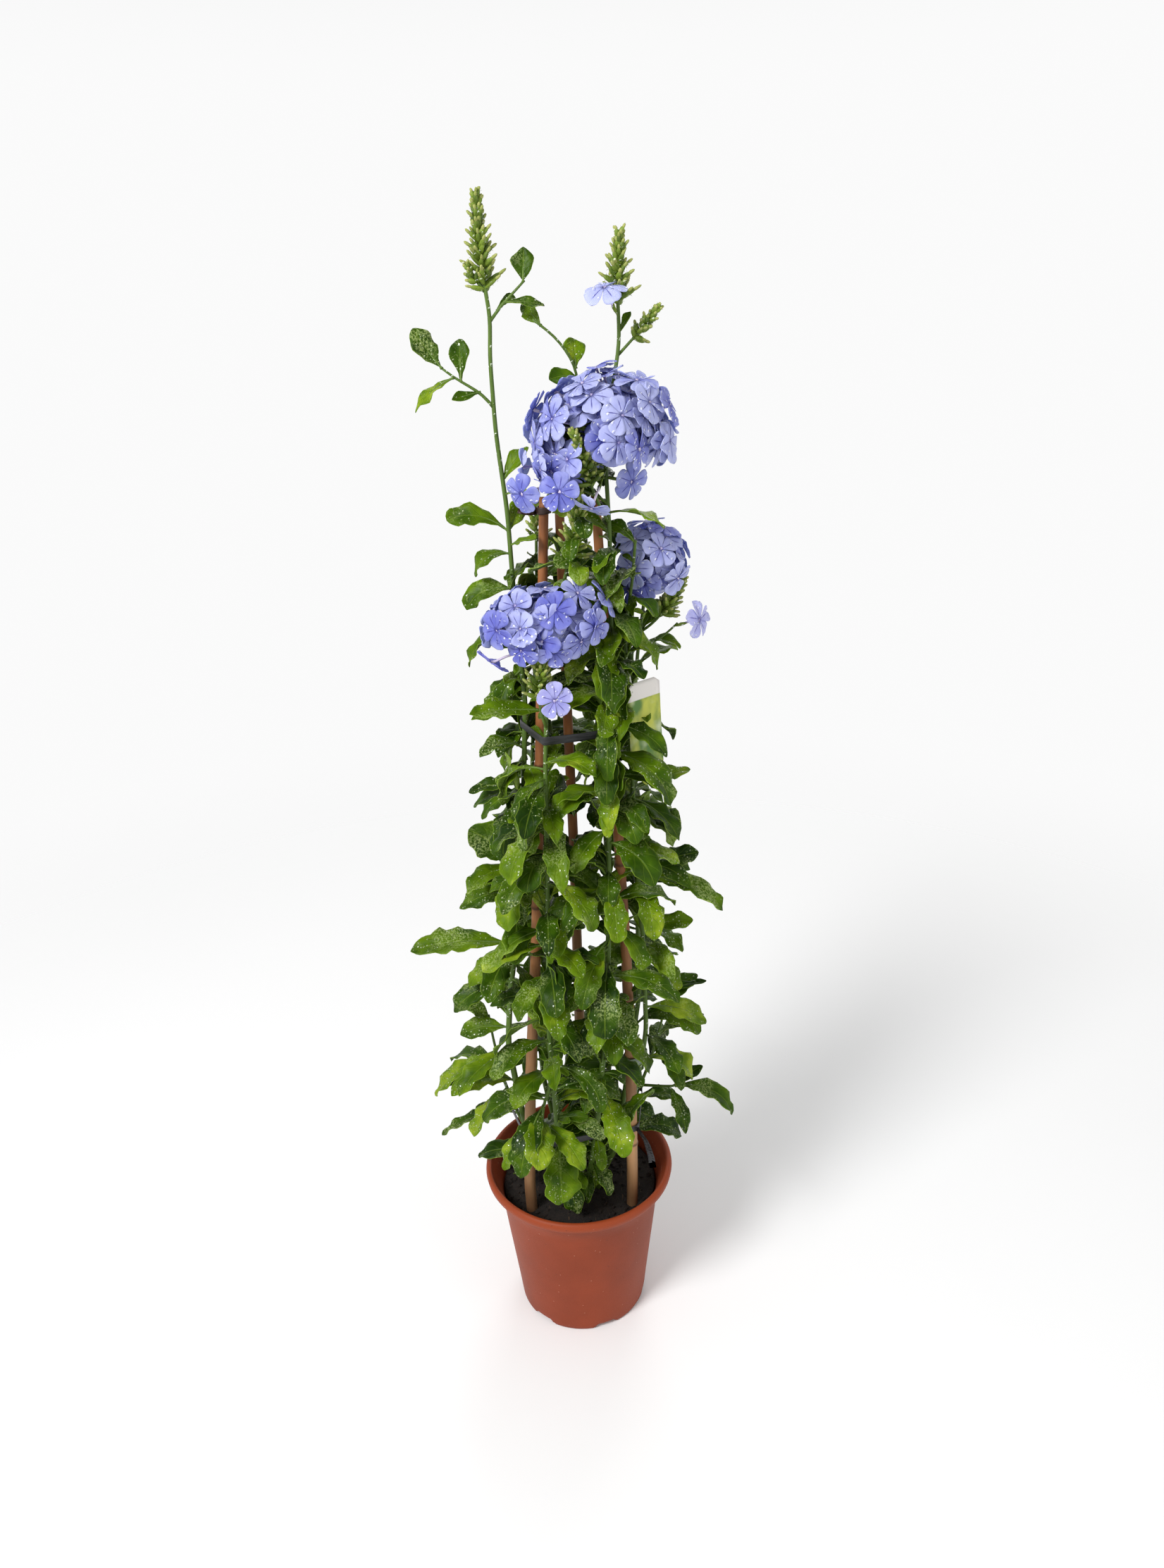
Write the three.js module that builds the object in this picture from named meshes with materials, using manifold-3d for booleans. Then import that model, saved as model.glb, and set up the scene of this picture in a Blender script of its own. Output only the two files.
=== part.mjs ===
// A potted cape leadwort, trained up three bamboo canes in a plastic nursery pot.
// Units are millimetres, +Z is up, and the origin is the centre of the pot's base.
// The plant faces -Y. Azimuths are in degrees from +X, so -90 points to the front.

import * as THREE from 'three';
import { mergeVertices } from 'three/addons/utils/BufferGeometryUtils.js';
import Module from 'manifold-3d';

const wasm = await Module();
wasm.setup();

// Driving dimensions of the pot
const rimRadius = 85;
const potHeight = 150;
const baseRadius = 58;
const bodyTopRadius = 72;
const bodyTopHeight = 122;
const wallThickness = 1.8;
const floorThickness = 2.4;
const potSides = 30;
const soilSides = 20;
const drainNotches = 6;
const drainNotchSize = { radial: 9, across: 22, high: 4.4 };
const firstNotchAngle = -70;

// Soil, and the gap that is left between pieces that touch
const soilHeight = 130;
const fitGap = 0.4;
const holeGap = 0.5;

// Bamboo canes: their centre lines from the foot up, and where their nodes are
const caneRadii = [5.3, 3.7];
const caneNodeBulge = 0.6;
const caneNodeHalf = 4;
const caneSides = 6;
const canes = {
  cane_left: {
    path: [[-42, -39, 95], [-43.5, -39, 158], [-38, -33, 261], [-27, -24, 394], [-17, -15, 550], [-5.5, -5, 745]],
    nodes: [182, 300, 425, 545, 662],
  },
  cane_right: {
    path: [[46, -36, 95], [47.5, -35, 163], [48, -30, 268], [46, -24, 380], [38, -13, 580], [31, -4, 745]],
    nodes: [194, 330, 460, 592, 700],
  },
  cane_back: {
    path: [[4, 54, 85], [5, 49, 160], [5, 41, 276], [6, 31, 440], [5, 19, 580], [5, 5, 745]],
    nodes: [170, 285, 405, 530, 650],
  },
};

// Blades and flowers
const bladeThickness = 1.5;
const petioleHalfWidth = 0.8;
const longBladeStations = [0, 0.32, 0.56, 0.82, 1];
const shortBladeStations = [0, 0.42, 0.78, 1];
const shortBladeLength = 62;
const tipHalfWidth = 0.42;
const petalLength = 13.8;
const corollaThroat = 1.7;
const corollaThickness = 2.2;
const tubeRadius = 1.1;
const bractRadius = 2;
const midribSteps = 10;
const stemSides = 4;

// A flower head's core, as shares of the head's half width and of the stem inside the head
const coreShare = 0.24;
const coreHeightShare = 0.62;

// How far apart the pieces keep, as the radius of a ball round each point that is tested
const bladeBall = 2.9;
const bladeSampleStep = 5.5;
const petioleBall = 1.7;
const petalBall = 2.6;
const ownPetalBall = 1.2;
const flowerTubeBall = 1.2;
const bandBall = 3.4;
const rimBall = 4;
const bractBall = 2.6;
const plateBall = 3;
const caneMargin = 0.6;
const stemMargin = 0.5;
const stemSampleStep = 4;
const caneSampleStep = 5;
const cellSize = 9;

// How leaves are fitted in: turned a little further at each try, then left out
const sameStemShare = 0.72;
const leafTries = 9;
const turnPerTry = 14;
const facingRoll = 22;

// Below this height the rule adds no leaf at the front, where the canes' feet show
const bareHeight = 252;

const degrees = Math.PI / 180;
const goldenAngle = 137.5;

// Each stem's first branch grows from the soil. A leaf is [root height, azimuth, lift, droop, length,
// width, roll], with no roll where it isn't given, and the rule adds more leaves between them.
const stems = {
  stem_left: [
    {
      path: [[-18.6, -4, 100], [-22, -6, 135], [-46, -14, 200], [-56, -19, 290], [-51, -20, 345], [-42, -18, 400],
        [-34, -15, 480], [-26, -11, 597], [-30, -8, 660], [-32, -6, 737], [-37, -5, 790], [-38, -5, 840],
        [-36, -5, 864], [-40, -5, 892], [-41, -5, 936]],
      radius: [3, 1.3],
      spike: { length: 54, reach: 14, bracts: 24 },
      leaves: [
        [388, 182, 14, 34, 88, 25, -25], [381, 197, -8, 55, 50, 18, -25], [354, 188, 0, 60, 58, 20, -25],
        [308, 178, 12, 50, 44, 18, -30], [437, 190, 8, 45, 52, 18, -30], [459, 200, 8, 60, 42, 18, -25],
        [462, 176, 42, 15, 50, 30, -62], [500, 250, 30, 110, 52, 20, -10], [528, 184, 12, 40, 44, 13, -20],
        [512, 196, 50, -12, 54, 17, -40], [586, 186, 14, 40, 42, 12, -20], [620, 200, -35, 50, 36, 14, -40],
        [645, 187, 16, 105, 50, 16, -20], [680, 184, 18, 90, 42, 20, -30], [706, 192, 18, 110, 36, 16, -30],
        [722, 180, 42, 70, 48, 17, -40], [722, -5, 48, 20, 28, 14, 40], [712, -18, 15, 30, 24, 12, 30],
        [752, 172, 70, 20, 36, 17, -60], [757, 12, 62, 30, 30, 13, 50], [776, 150, 78, 20, 24, 13, -60],
        [748, -40, 20, 30, 20, 9, 20],
      ],
      rule: { from: 150, to: 600, every: 34, long: [66, 46], turn: 40, spread: 0.45, lift: [5, 45] },
    },
    {
      path: [[-37, -5, 806], [-44, -6, 816], [-62, -7, 826], [-72, -6, 834]],
      radius: [1.3, 0.8],
      leaves: [[833, 168, 50, -10, 32, 17, -62], [824, 90, 82, 10, 28, 14, 0], [827, 192, -20, 40, 36, 11, -30],
        [812, 90, 80, 0, 22, 9, 0], [817, 182, -5, 10, 22, 8, -40]],
    },
    {
      path: [[-36, -5, 862], [-28, -6, 872], [-18, -7, 880], [-12, -7, 886]],
      radius: [1.2, 0.8],
      leaves: [[885, 80, 78, 5, 22, 15, 0], [873, -8, 5, 25, 28, 8, 40], [868, 45, 50, 60, 20, 7, 40]],
    },
    {
      path: [[-39, -5, 880], [-45, -8, 888], [-49, -10, 896]],
      radius: [1.2, 0.9],
      spike: { length: 14, reach: 9, bracts: 4 },
    },
  ],
  stem_centre: [
    {
      path: [[5.2, -18.3, 100], [7, -21, 135], [16, -36, 200], [27, -47, 320], [32, -47, 420],
        [34, -41, 513], [36, -38, 570], [39, -33, 640], [40, -26, 720], [38, -24, 775], [44, -14, 815],
        [50, -8, 846], [49, -8, 878], [51, -8, 911]],
      radius: [2.9, 1.2],
      spike: { length: 40, reach: 14, bracts: 18 },
      leaves: [[205, -80, 0, 90, 34, 11], [170, -62, 20, 100, 40, 15], [160, -100, 10, 90, 34, 14],
        [826, 60, 62, 10, 20, 7], [852, 20, 50, 10, 18, 6], [846, 170, 50, 20, 16, 8, -40],
        [736, -30, 15, 60, 46, 17], [562, -32, 5, 88, 68, 27, 20]],
      rule: { from: 165, to: 700, every: 21, long: [68, 44], turn: 10, spread: 0.52, lift: [-15, 35] },
    },
    {
      path: [[49, -8, 838], [57, -9, 846], [66, -10, 855], [76, -10, 867]],
      radius: [1.1, 0.8],
      spike: { length: 26, reach: 9, bracts: 9 },
    },
    {
      path: [[39, -27, 730], [30, -45, 750], [24, -58, 772], [17, -71, 794]],
      radius: [1.2, 0.8],
      spike: { length: 42, reach: 9, bracts: 10 },
    },
  ],
  stem_front: [
    {
      path: [[-5.2, -18.3, 100], [-7, -21, 135], [-16, -45, 210], [-19, -55, 320], [-15, -55, 440],
        [-12, -51, 560], [-8, -48, 620], [-2, -46, 655], [6, -42, 690], [12, -41, 710], [16, -43, 728],
        [18, -46, 752]],
      radius: [2.8, 1.2],
      spike: { length: 46, reach: 13, bracts: 15 },
      leaves: [[205, -88, 0, 85, 56, 32], [600, 200, 15, 20, 58, 18, -30], [706, 200, -10, 40, 30, 15],
        [704, 20, 30, 20, 26, 12, 40]],
      rule: { from: 160, to: 610, every: 20, long: [70, 50], turn: 100, spread: 0.52, lift: [-15, 35] },
    },
    {
      path: [[-10, -50, 588], [-14, -60, 606], [-13, -66, 624], [-11, -70, 644]],
      radius: [1.3, 0.8],
      spike: { length: 30, reach: 11, bracts: 11 },
    },
  ],
  stem_right: [
    {
      path: [[18.7, -3.3, 100], [22, -4, 135], [42, 2, 210], [58, 6, 320], [57, 7, 440], [55, 8, 550],
        [60, 11, 620], [66, 12, 665], [72, 12, 698], [76, 12, 722]],
      radius: [2.7, 1.2],
      leaves: [[437, -15, 5, 40, 42, 13, 30], [318, 5, 14, 10, 60, 7, 20], [288, -5, 45, 130, 74, 24, 30],
        [640, 0, 60, 50, 34, 13, 30], [612, 20, 50, 80, 40, 15], [628, -20, 30, 90, 36, 13]],
      rule: { from: 165, to: 640, every: 44, long: [64, 42], turn: 70, spread: 0.5, lift: [15, 50] },
    },
    {
      path: [[63, 11.5, 640], [72, 4, 648], [82, 2, 660], [93, 0, 680]],
      radius: [1.2, 0.8],
      spike: { length: 30, reach: 10, bracts: 11 },
    },
    {
      path: [[61, 10, 628], [74, 2, 634], [84, 0, 643], [90, 0, 649]],
      radius: [1, 0.8],
    },
  ],
  stem_right_front: [
    {
      path: [[14.1, -12.7, 100], [17, -15, 135], [46, -20, 205], [62, -21, 300], [60, -20, 395], [55, -20, 480],
        [53, -20, 550], [50, -18, 600], [50, -20, 650], [56, -22, 690], [58, -24, 716]],
      radius: [2.7, 1.1],
      leaves: [[524, 8, 10, 22, 60, 13, 35], [552, -35, 25, 110, 62, 26, 20], [500, -25, 20, 50, 40, 20, 30],
        [452, 10, 22, 22, 52, 17, 35], [446, -10, 12, 75, 78, 19, 30], [402, 0, 12, 14, 42, 15, 30],
        [372, -30, 0, 85, 42, 17, 30],
        [714, 170, 40, 50, 26, 11, -30], [690, -150, 30, 80, 34, 14], [672, -60, 30, 90, 38, 16]],
      rule: { from: 165, to: 680, every: 27, long: [64, 40], turn: 130, spread: 0.5, lift: [-10, 40] },
    },
    {
      path: [[51, -20, 232], [61, -32, 242], [66, -44, 253], [66, -50, 262]],
      radius: [1.5, 1],
      leaves: [[262, -160, -22, 60, 46, 20]],
    },
  ],
  stem_back_left: [
    {
      path: [[-11.2, 15.4, 100], [-13, 17, 135], [-30, 36, 210], [-36, 41, 340], [-29, 37, 480], [-20, 31, 600],
        [-14, 25, 690], [-12, 20, 744]],
      radius: [2.7, 1.1],
      spike: { length: 34, reach: 11, bracts: 8 },
      rule: { from: 165, to: 700, every: 33, long: [68, 42], turn: 20, spread: 0.5, lift: [10, 50] },
    },
  ],
  stem_back_right: [
    {
      path: [[10.1, 16.1, 100], [12, 18, 135], [30, 38, 210], [37, 43, 340], [32, 39, 480], [27, 33, 600],
        [24, 28, 700], [22, 22, 770], [22, 8, 812], [20, 1, 832], [8, -3, 850], [-8, -5, 862]],
      radius: [2.8, 0.9],
      leaves: [[830, 95, 68, 10, 21, 16, 0], [824, 186, 15, 40, 20, 13, -60], [834, 70, 60, 10, 15, 7],
        [858, 165, 35, 15, 28, 11, -60], [861, 100, 80, 0, 16, 5]],
      rule: { from: 165, to: 770, every: 36, long: [68, 38], turn: 80, spread: 0.5, lift: [10, 50] },
    },
  ],
  shoot_left: [
    {
      path: [[-17.9, 6.5, 100], [-21, 8, 135], [-50, 3, 190], [-64, 0, 240], [-70, -3, 285], [-72, -6, 312]],
      radius: [2.4, 1],
      leaves: [[272, 190, -14, 46, 70, 20, -20], [206, 185, 2, 46, 74, 13, -20], [230, 208, -25, 50, 54, 15, -20],
        [238, 176, 14, 40, 58, 14, -20], [300, 172, 40, 20, 36, 15, -30], [250, 150, 30, 90, 62, 21]],
      rule: { from: 160, to: 312, every: 42, long: [54, 40], turn: 0, spread: 0.45, lift: [5, 45] },
    },
  ],
  shoot_front: [
    {
      path: [[-14.1, -12.7, 100], [-17, -16, 135], [-25, -38, 180], [-30, -57, 225], [-27, -63, 258],
        [-13, -66, 304]],
      radius: [2.4, 1.1],
      leaves: [[260, -112, 0, 78, 66, 26], [302, -35, 15, 120, 62, 16, 20], [238, -150, -10, 70, 52, 17],
        [240, -48, 10, 70, 58, 19, 20], [266, 172, 25, 30, 34, 11, -30]],
      rule: { from: 160, to: 262, every: 34, long: [46, 40], turn: 60, spread: 0.4, lift: [5, 45] },
    },
  ],
  shoot_right: [
    {
      path: [[17.6, 7.1, 100], [21, 9, 135], [48, 14, 190], [66, 14, 240], [77, 11, 285], [80, 8, 306]],
      radius: [2.4, 1],
      leaves: [[276, 12, 28, 30, 44, 14, 30], [262, -50, -8, 82, 50, 17, 20], [300, 30, 60, 60, 46, 15, 30],
        [270, 40, 30, 90, 58, 19]],
      rule: { from: 160, to: 306, every: 42, long: [58, 40], turn: 30, spread: 0.45, lift: [5, 45] },
    },
    {
      path: [[58, 14, 218], [69, 10, 220], [80, 4, 223], [90, -3, 229]],
      radius: [1.5, 1],
      leaves: [[228, -10, 15, 100, 66, 19, 25], [227, 18, 35, 20, 32, 11, 30], [225, -66, -15, 70, 46, 15]],
    },
  ],
};

// Flower heads: rounded heads of florets round a stem, which slant to the left below their middle and
// may be open low down on the right. Loose florets are [face centre, face direction].
const heads = {
  flower_head_top: {
    stem: 'stem_centre',
    between: [755, 806],
    centre: [33, -32, 788],
    half: [50, 42, 44],
    florets: 120,
    lowest: -0.72,
    turn: 20,
    slant: 10,
    openBelow: -0.2,
    loose: [[[27, -66, 746], [-0.35, -0.5, -0.8]], [[-20, -42, 753], [-0.5, -0.7, -0.2]]],
  },
  flower_head_front: {
    stem: 'stem_front',
    between: [640, 684],
    centre: [-4, -56, 668],
    half: [43, 32, 26],
    florets: 90,
    lowest: -0.6,
    turn: 75,
    slant: 6,
    loose: [[[-46, -58, 640], [-0.6, -0.2, -0.7]]],
  },
  flower_head_right: {
    stem: 'stem_right',
    between: [668, 716],
    centre: [70, 6, 694],
    half: [29, 29, 32],
    florets: 70,
    lowest: -0.7,
    turn: 140,
    loose: [],
  },
};

// Florets that stand alone on a stem: where the face is, which way it looks, the tube's root, and how
// far the petals bend back
const singleFlowers = {
  flower_low: {
    stem: 'stem_front', face: [-2, -80, 618], towards: [0.1, -0.95, 0.25], root: [-13.4, -61.5, 611], bend: 0.2,
  },
  flower_side: {
    stem: 'stem_right', face: [106, -4, 652], towards: [0.75, -0.6, 0.1], root: [88, 0, 647], bend: 0.8,
  },
  flower_high: {
    stem: 'stem_centre', face: [40, -26, 880], towards: [-0.15, -0.5, 0.85], root: [49.3, -8, 862], bend: 1.3,
  },
};

// Bands of tape round the canes and stems that pass inside them, and their loose ends
const bands = {
  tie_low: { height: 212, tall: 6, round: 'all', tail: [[59, -46, 206], [63, -48, 192], [65, -48, 178]] },
  tie_high: { height: 578, tall: 6, round: 'all' },
  tie_middle: { height: 278, tall: 9, round: ['cane_right', 'stem_right_front'] },
  tie_top: {
    height: 736, tall: 5, round: ['cane_left'], tail: [[-16, -9, 736], [-21, -10, 737], [-24, -10, 738]],
  },
};
const bandThickness = 0.9;
const loopSides = 8;

// The plain hanging tag: its upper left corner, size, lean and turn away from the front, and the stem
// that its ring goes round
const tag = {
  corner: [50, -34, 612],
  wide: 31,
  tall: 84,
  thick: 0.9,
  rounding: 5,
  pointTall: 14,
  pointWide: 6,
  lean: 3,
  turn: 36,
  stem: 'stem_right_front',
  ringHeight: 620,
  ringThick: 1.4,
  ringHalfTall: 1.6,
  ringSides: 8,
  strapRadius: 1,
  strapTo: [5, 7],
};

// Random numbers that are the same in every run
let seed = 20260;
function random() {
  seed = (Math.imul(seed, 1664525) + 1013904223) >>> 0;
  return seed / 4294967296;
}
const between = (low, high) => low + (high - low) * random();
const mix = (a, b, share) => a + (b - a) * share;
const clamp01 = (value) => Math.min(1, Math.max(0, value));
const vector = (p) => new THREE.Vector3(p[0], p[1], p[2]);
const offset = (point, way, a, otherWay, b) => point.clone().addScaledVector(way, a).addScaledVector(otherWay, b);

// Solids and geometries
function geometryFrom(points, faces) {
  const geometry = new THREE.BufferGeometry();
  geometry.setAttribute('position', new THREE.Float32BufferAttribute(points.flatMap((p) => [p.x, p.y, p.z]), 3));
  geometry.setIndex(faces.flat());
  return geometry;
}

function solidOf(geometry) {
  const plain = geometry.clone();
  plain.deleteAttribute('normal');
  plain.deleteAttribute('uv');
  const merged = mergeVertices(plain, 1e-4);
  const mesh = new wasm.Mesh({
    numProp: 3,
    vertProperties: merged.attributes.position.array,
    triVerts: new Uint32Array(merged.index.array),
  });
  return new wasm.Manifold(mesh);
}

function geometryOf(solid) {
  const mesh = solid.getMesh();
  const geometry = new THREE.BufferGeometry();
  geometry.setAttribute('position', new THREE.BufferAttribute(new Float32Array(mesh.vertProperties), 3));
  geometry.setIndex(new THREE.BufferAttribute(new Uint32Array(mesh.triVerts), 1));
  geometry.computeVertexNormals();
  return geometry;
}

function joined(solids) {
  let level = solids;
  while (level.length > 1) {
    const next = [];
    for (let i = 0; i < level.length; i += 2) {
      next.push(i + 1 < level.length ? level[i].add(level[i + 1]) : level[i]);
    }
    level = next;
  }
  return level[0];
}

const largestPiece = (solid) => solid.decompose().reduce((a, b) => (a.volume() > b.volume() ? a : b));

// A skin over rings that all have the same number of points. The diagonals alternate round a ring,
// so that a thin blade of four-point rings is split alike on both faces.
function loft(rings, closeEnd = true) {
  const count = rings[0].length;
  const faces = [];
  for (let i = 0; i + 1 < rings.length; i++) {
    for (let k = 0; k < count; k++) {
      const a = i * count + k;
      const b = i * count + ((k + 1) % count);
      const c = b + count;
      const d = a + count;
      if (k % 2) faces.push([a, b, d], [b, c, d]);
      else faces.push([a, b, c], [a, c, d]);
    }
  }
  const last = (rings.length - 1) * count;
  for (let k = 1; k + 1 < count; k++) {
    faces.push([0, k + 1, k]);
    if (closeEnd) faces.push([last, last + k, last + k + 1]);
  }
  const merged = mergeVertices(geometryFrom(rings.flat(), faces), 1e-4);
  const kept = [];
  for (let i = 0; i < merged.index.count; i += 3) {
    const [a, b, c] = [0, 1, 2].map((n) => merged.index.getX(i + n));
    if (a !== b && b !== c && a !== c) kept.push(a, b, c);
  }
  merged.setIndex(kept);
  return merged;
}

function loftSolid(rings, closeEnd = true) {
  const solid = solidOf(loft(rings, closeEnd));
  if (solid.volume() >= 0) return solid;
  return solidOf(loft(rings.map((ring) => [...ring].reverse()), closeEnd));
}

const lineOf = (path) => path.map(vector);

function lineLength(line) {
  return line.slice(1).reduce((sum, p, i) => sum + p.distanceTo(line[i]), 0);
}

function pointAlong(line, distance) {
  let left = distance;
  for (let i = 1; i < line.length; i++) {
    const step = line[i].distanceTo(line[i - 1]);
    if (left <= step || i === line.length - 1) {
      const share = Math.min(1, left / step);
      return {
        point: line[i - 1].clone().lerp(line[i], share),
        tangent: line[i].clone().sub(line[i - 1]).normalize(),
      };
    }
    left -= step;
  }
}

// The distance along a line at which it first reaches a height
function distanceAtHeight(line, height) {
  let sum = 0;
  for (let i = 1; i < line.length; i++) {
    const step = line[i].distanceTo(line[i - 1]);
    if (line[i].z >= height) {
      const rise = line[i].z - line[i - 1].z;
      return sum + step * clamp01((height - line[i - 1].z) / rise);
    }
    sum += step;
  }
  return sum;
}

// A round tube along a line, with a radius that runs from the first value to the second
function tubeRings(line, radii, sides, extra = 0) {
  const whole = line[line.length - 1].clone().sub(line[0]);
  const axes = [new THREE.Vector3(1, 0, 0), new THREE.Vector3(0, 1, 0), new THREE.Vector3(0, 0, 1)];
  const away = axes.reduce((a, b) => (Math.abs(whole.dot(a)) <= Math.abs(whole.dot(b)) ? a : b));
  return line.map((point, i) => {
    const before = line[Math.max(0, i - 1)];
    const after = line[Math.min(line.length - 1, i + 1)];
    const tangent = after.clone().sub(before).normalize();
    const side = away.clone().addScaledVector(tangent, -away.dot(tangent)).normalize();
    const other = tangent.clone().cross(side);
    const radius = mix(radii[0], radii[1], i / (line.length - 1)) + extra;
    return Array.from({ length: sides }, (_, k) => {
      const angle = (2 * Math.PI * k) / sides;
      return offset(point, side, radius * Math.cos(angle), other, radius * Math.sin(angle));
    });
  });
}

// Points that later pieces keep clear of, in a grid of cells
const cells = new Map();
const cellKey = (i, j, k) => (i + 100) * 1000000 + (j + 100) * 1000 + (k + 100);
function occupy(points, ball, owner) {
  for (const p of points) {
    const key = cellKey(...[p.x, p.y, p.z].map((value) => Math.floor(value / cellSize)));
    if (!cells.has(key)) cells.set(key, []);
    cells.get(key).push({ x: p.x, y: p.y, z: p.z, ball, owner });
  }
}

function isNear(sample, owner) {
  const [i, j, k] = [sample.p.x, sample.p.y, sample.p.z].map((value) => Math.floor(value / cellSize));
  for (let n = 0; n < 27; n++) {
    const cell = cells.get(cellKey(i + (n % 3) - 1, j + (Math.floor(n / 3) % 3) - 1, k + Math.floor(n / 9) - 1));
    for (const o of cell ?? []) {
      const [dx, dy, dz] = [sample.p.x - o.x, sample.p.y - o.y, sample.p.z - o.z];
      const reach = (sample.ball + o.ball) * (o.owner === owner ? (sample.stalk ? 0 : sameStemShare) : 1);
      if (dx * dx + dy * dy + dz * dz < reach * reach) return true;
    }
  }
  return false;
}

function isClear(samples, owner) {
  return samples.every((sample) => {
    const reach = Math.hypot(sample.p.x, sample.p.y);
    const insidePot = !sample.stalk && reach < rimRadius + 4 && sample.p.z < soilHeight + 3;
    return !insidePot && sample.p.z > 3 && !isNear(sample, owner);
  });
}

// A leaf: its midrib leaves the stem at the lift angle and bends down by the droop angle
function leafFrame(leaf) {
  const turn = leaf.azimuth * degrees;
  const across = new THREE.Vector3(-Math.sin(turn), Math.cos(turn), 0);
  const pitched = (flat, rise) => new THREE.Vector3(flat * Math.cos(turn), flat * Math.sin(turn), rise);
  const midrib = [leaf.root.clone()];
  const ups = [];
  for (let i = 0; i <= midribSteps; i++) {
    const share = i / midribSteps;
    const pitch = (leaf.lift - leaf.droop * share ** 1.3) * degrees;
    ups.push(pitched(-Math.sin(pitch), Math.cos(pitch)));
    if (i === midribSteps) break;
    const middle = (leaf.lift - leaf.droop * (share + 0.5 / midribSteps) ** 1.3) * degrees;
    const step = leaf.length / midribSteps;
    midrib.push(midrib[i].clone().add(pitched(Math.cos(middle) * step, Math.sin(middle) * step)));
  }
  return { across, midrib, ups };
}

// Half the blade's width at a share of its length: a narrow stalk, widest past the middle
function halfWidth(leaf, share) {
  const blade = clamp01((share - 0.12) / 0.88);
  const outline = Math.max(0, Math.sin(Math.PI * blade ** 1.8)) ** 0.68;
  return Math.max(petioleHalfWidth * (1 - 0.2 * share), (leaf.width / 2) * outline);
}

// The left edge, midrib and right edge at a share of the length, with the margin's wave
function leafSection(leaf, frame, share, tip = false) {
  const place = share * midribSteps;
  const i = Math.min(midribSteps - 1, Math.floor(place));
  const middle = frame.midrib[i].clone().lerp(frame.midrib[i + 1], place - i);
  const up = frame.ups[i].clone().lerp(frame.ups[i + 1], place - i).normalize();
  const roll = (leaf.roll + leaf.twist * share) * degrees;
  const side = frame.across.clone().multiplyScalar(Math.cos(roll)).addScaledVector(up, Math.sin(roll));
  const normal = up.clone().multiplyScalar(Math.cos(roll)).addScaledVector(frame.across, -Math.sin(roll));
  const half = tip ? (tipHalfWidth * leaf.width) / 2 : halfWidth(leaf, share);
  const edges = [1, -1].map((hand) => {
    const swing = Math.sin(2 * Math.PI * leaf.waves * share + leaf.phase * hand);
    const wave = leaf.wave * swing * clamp01(4 * share - 0.8);
    return middle.clone()
      .addScaledVector(side, hand * half * Math.cos(leaf.fold * degrees))
      .addScaledVector(normal, half * Math.sin(leaf.fold * degrees) + wave);
  });
  return { left: edges[0], middle, right: edges[1], normal };
}

function leafSolid(leaf) {
  const frame = leafFrame(leaf);
  const stations = leaf.length < shortBladeLength ? shortBladeStations : longBladeStations;
  const rings = stations.map((share, i) => {
    const last = i === stations.length - 1;
    const cut = leafSection(leaf, frame, share, last);
    const keel = cut.middle.clone().addScaledVector(cut.normal, last ? 0 : -bladeThickness);
    return [cut.left, cut.right, keel];
  });
  return loftSolid(rings);
}

function leafSamples(leaf) {
  const frame = leafFrame(leaf);
  const samples = [0.06, 0.12, 0.18, 0.24].map((share) => (
    { p: leafSection(leaf, frame, share).middle, ball: petioleBall, stalk: true }));
  const rows = Math.ceil((leaf.length * 0.7) / bladeSampleStep);
  const columns = 2 * Math.ceil(leaf.width / 2 / bladeSampleStep);
  for (let i = 0; i <= rows; i++) {
    const share = mix(0.3, 1, i / rows);
    const cut = leafSection(leaf, frame, share, i === rows);
    for (let k = 0; k <= columns; k++) {
      const across = (2 * k) / columns - 1;
      const edge = across < 0 ? cut.left : cut.right;
      samples.push({ p: cut.middle.clone().lerp(edge, Math.abs(across)), ball: bladeBall });
    }
  }
  return samples;
}

// Makes a leaf, turning it until it is clear of what is there. A leaf that fits nowhere is left out.
function placeLeaf(start, name) {
  const leaf = {
    ...start,
    fold: between(6, 15),
    twist: between(-25, 25),
    wave: between(0.4, 1),
    waves: between(1.6, 2.6),
    phase: between(0, 6),
  };
  for (let attempt = 0; attempt < leafTries; attempt++) {
    const side = attempt % 2 ? 1 : -1;
    leaf.azimuth = start.azimuth + side * Math.ceil(attempt / 2) * turnPerTry;
    leaf.lift = start.lift + (attempt % 3) * 7;
    const samples = leafSamples(leaf);
    if (isClear(samples, name)) {
      for (const s of samples) occupy([s.p], s.ball, name);
      return leaf;
    }
  }
  return null;
}

// The stems' lines
const lines = {};
for (const [name, branches] of Object.entries(stems)) {
  lines[name] = branches.map((branch) => lineOf(branch.path));
}

for (const [name, cane] of Object.entries(canes)) lines[name] = [lineOf(cane.path)];

const pointAtHeight = (line, height) => pointAlong(line, distanceAtHeight(line, height)).point;
const radiusAtHeight = (line, radii, height) => (
  mix(radii[0], radii[1], distanceAtHeight(line, height) / lineLength(line)));

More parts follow.
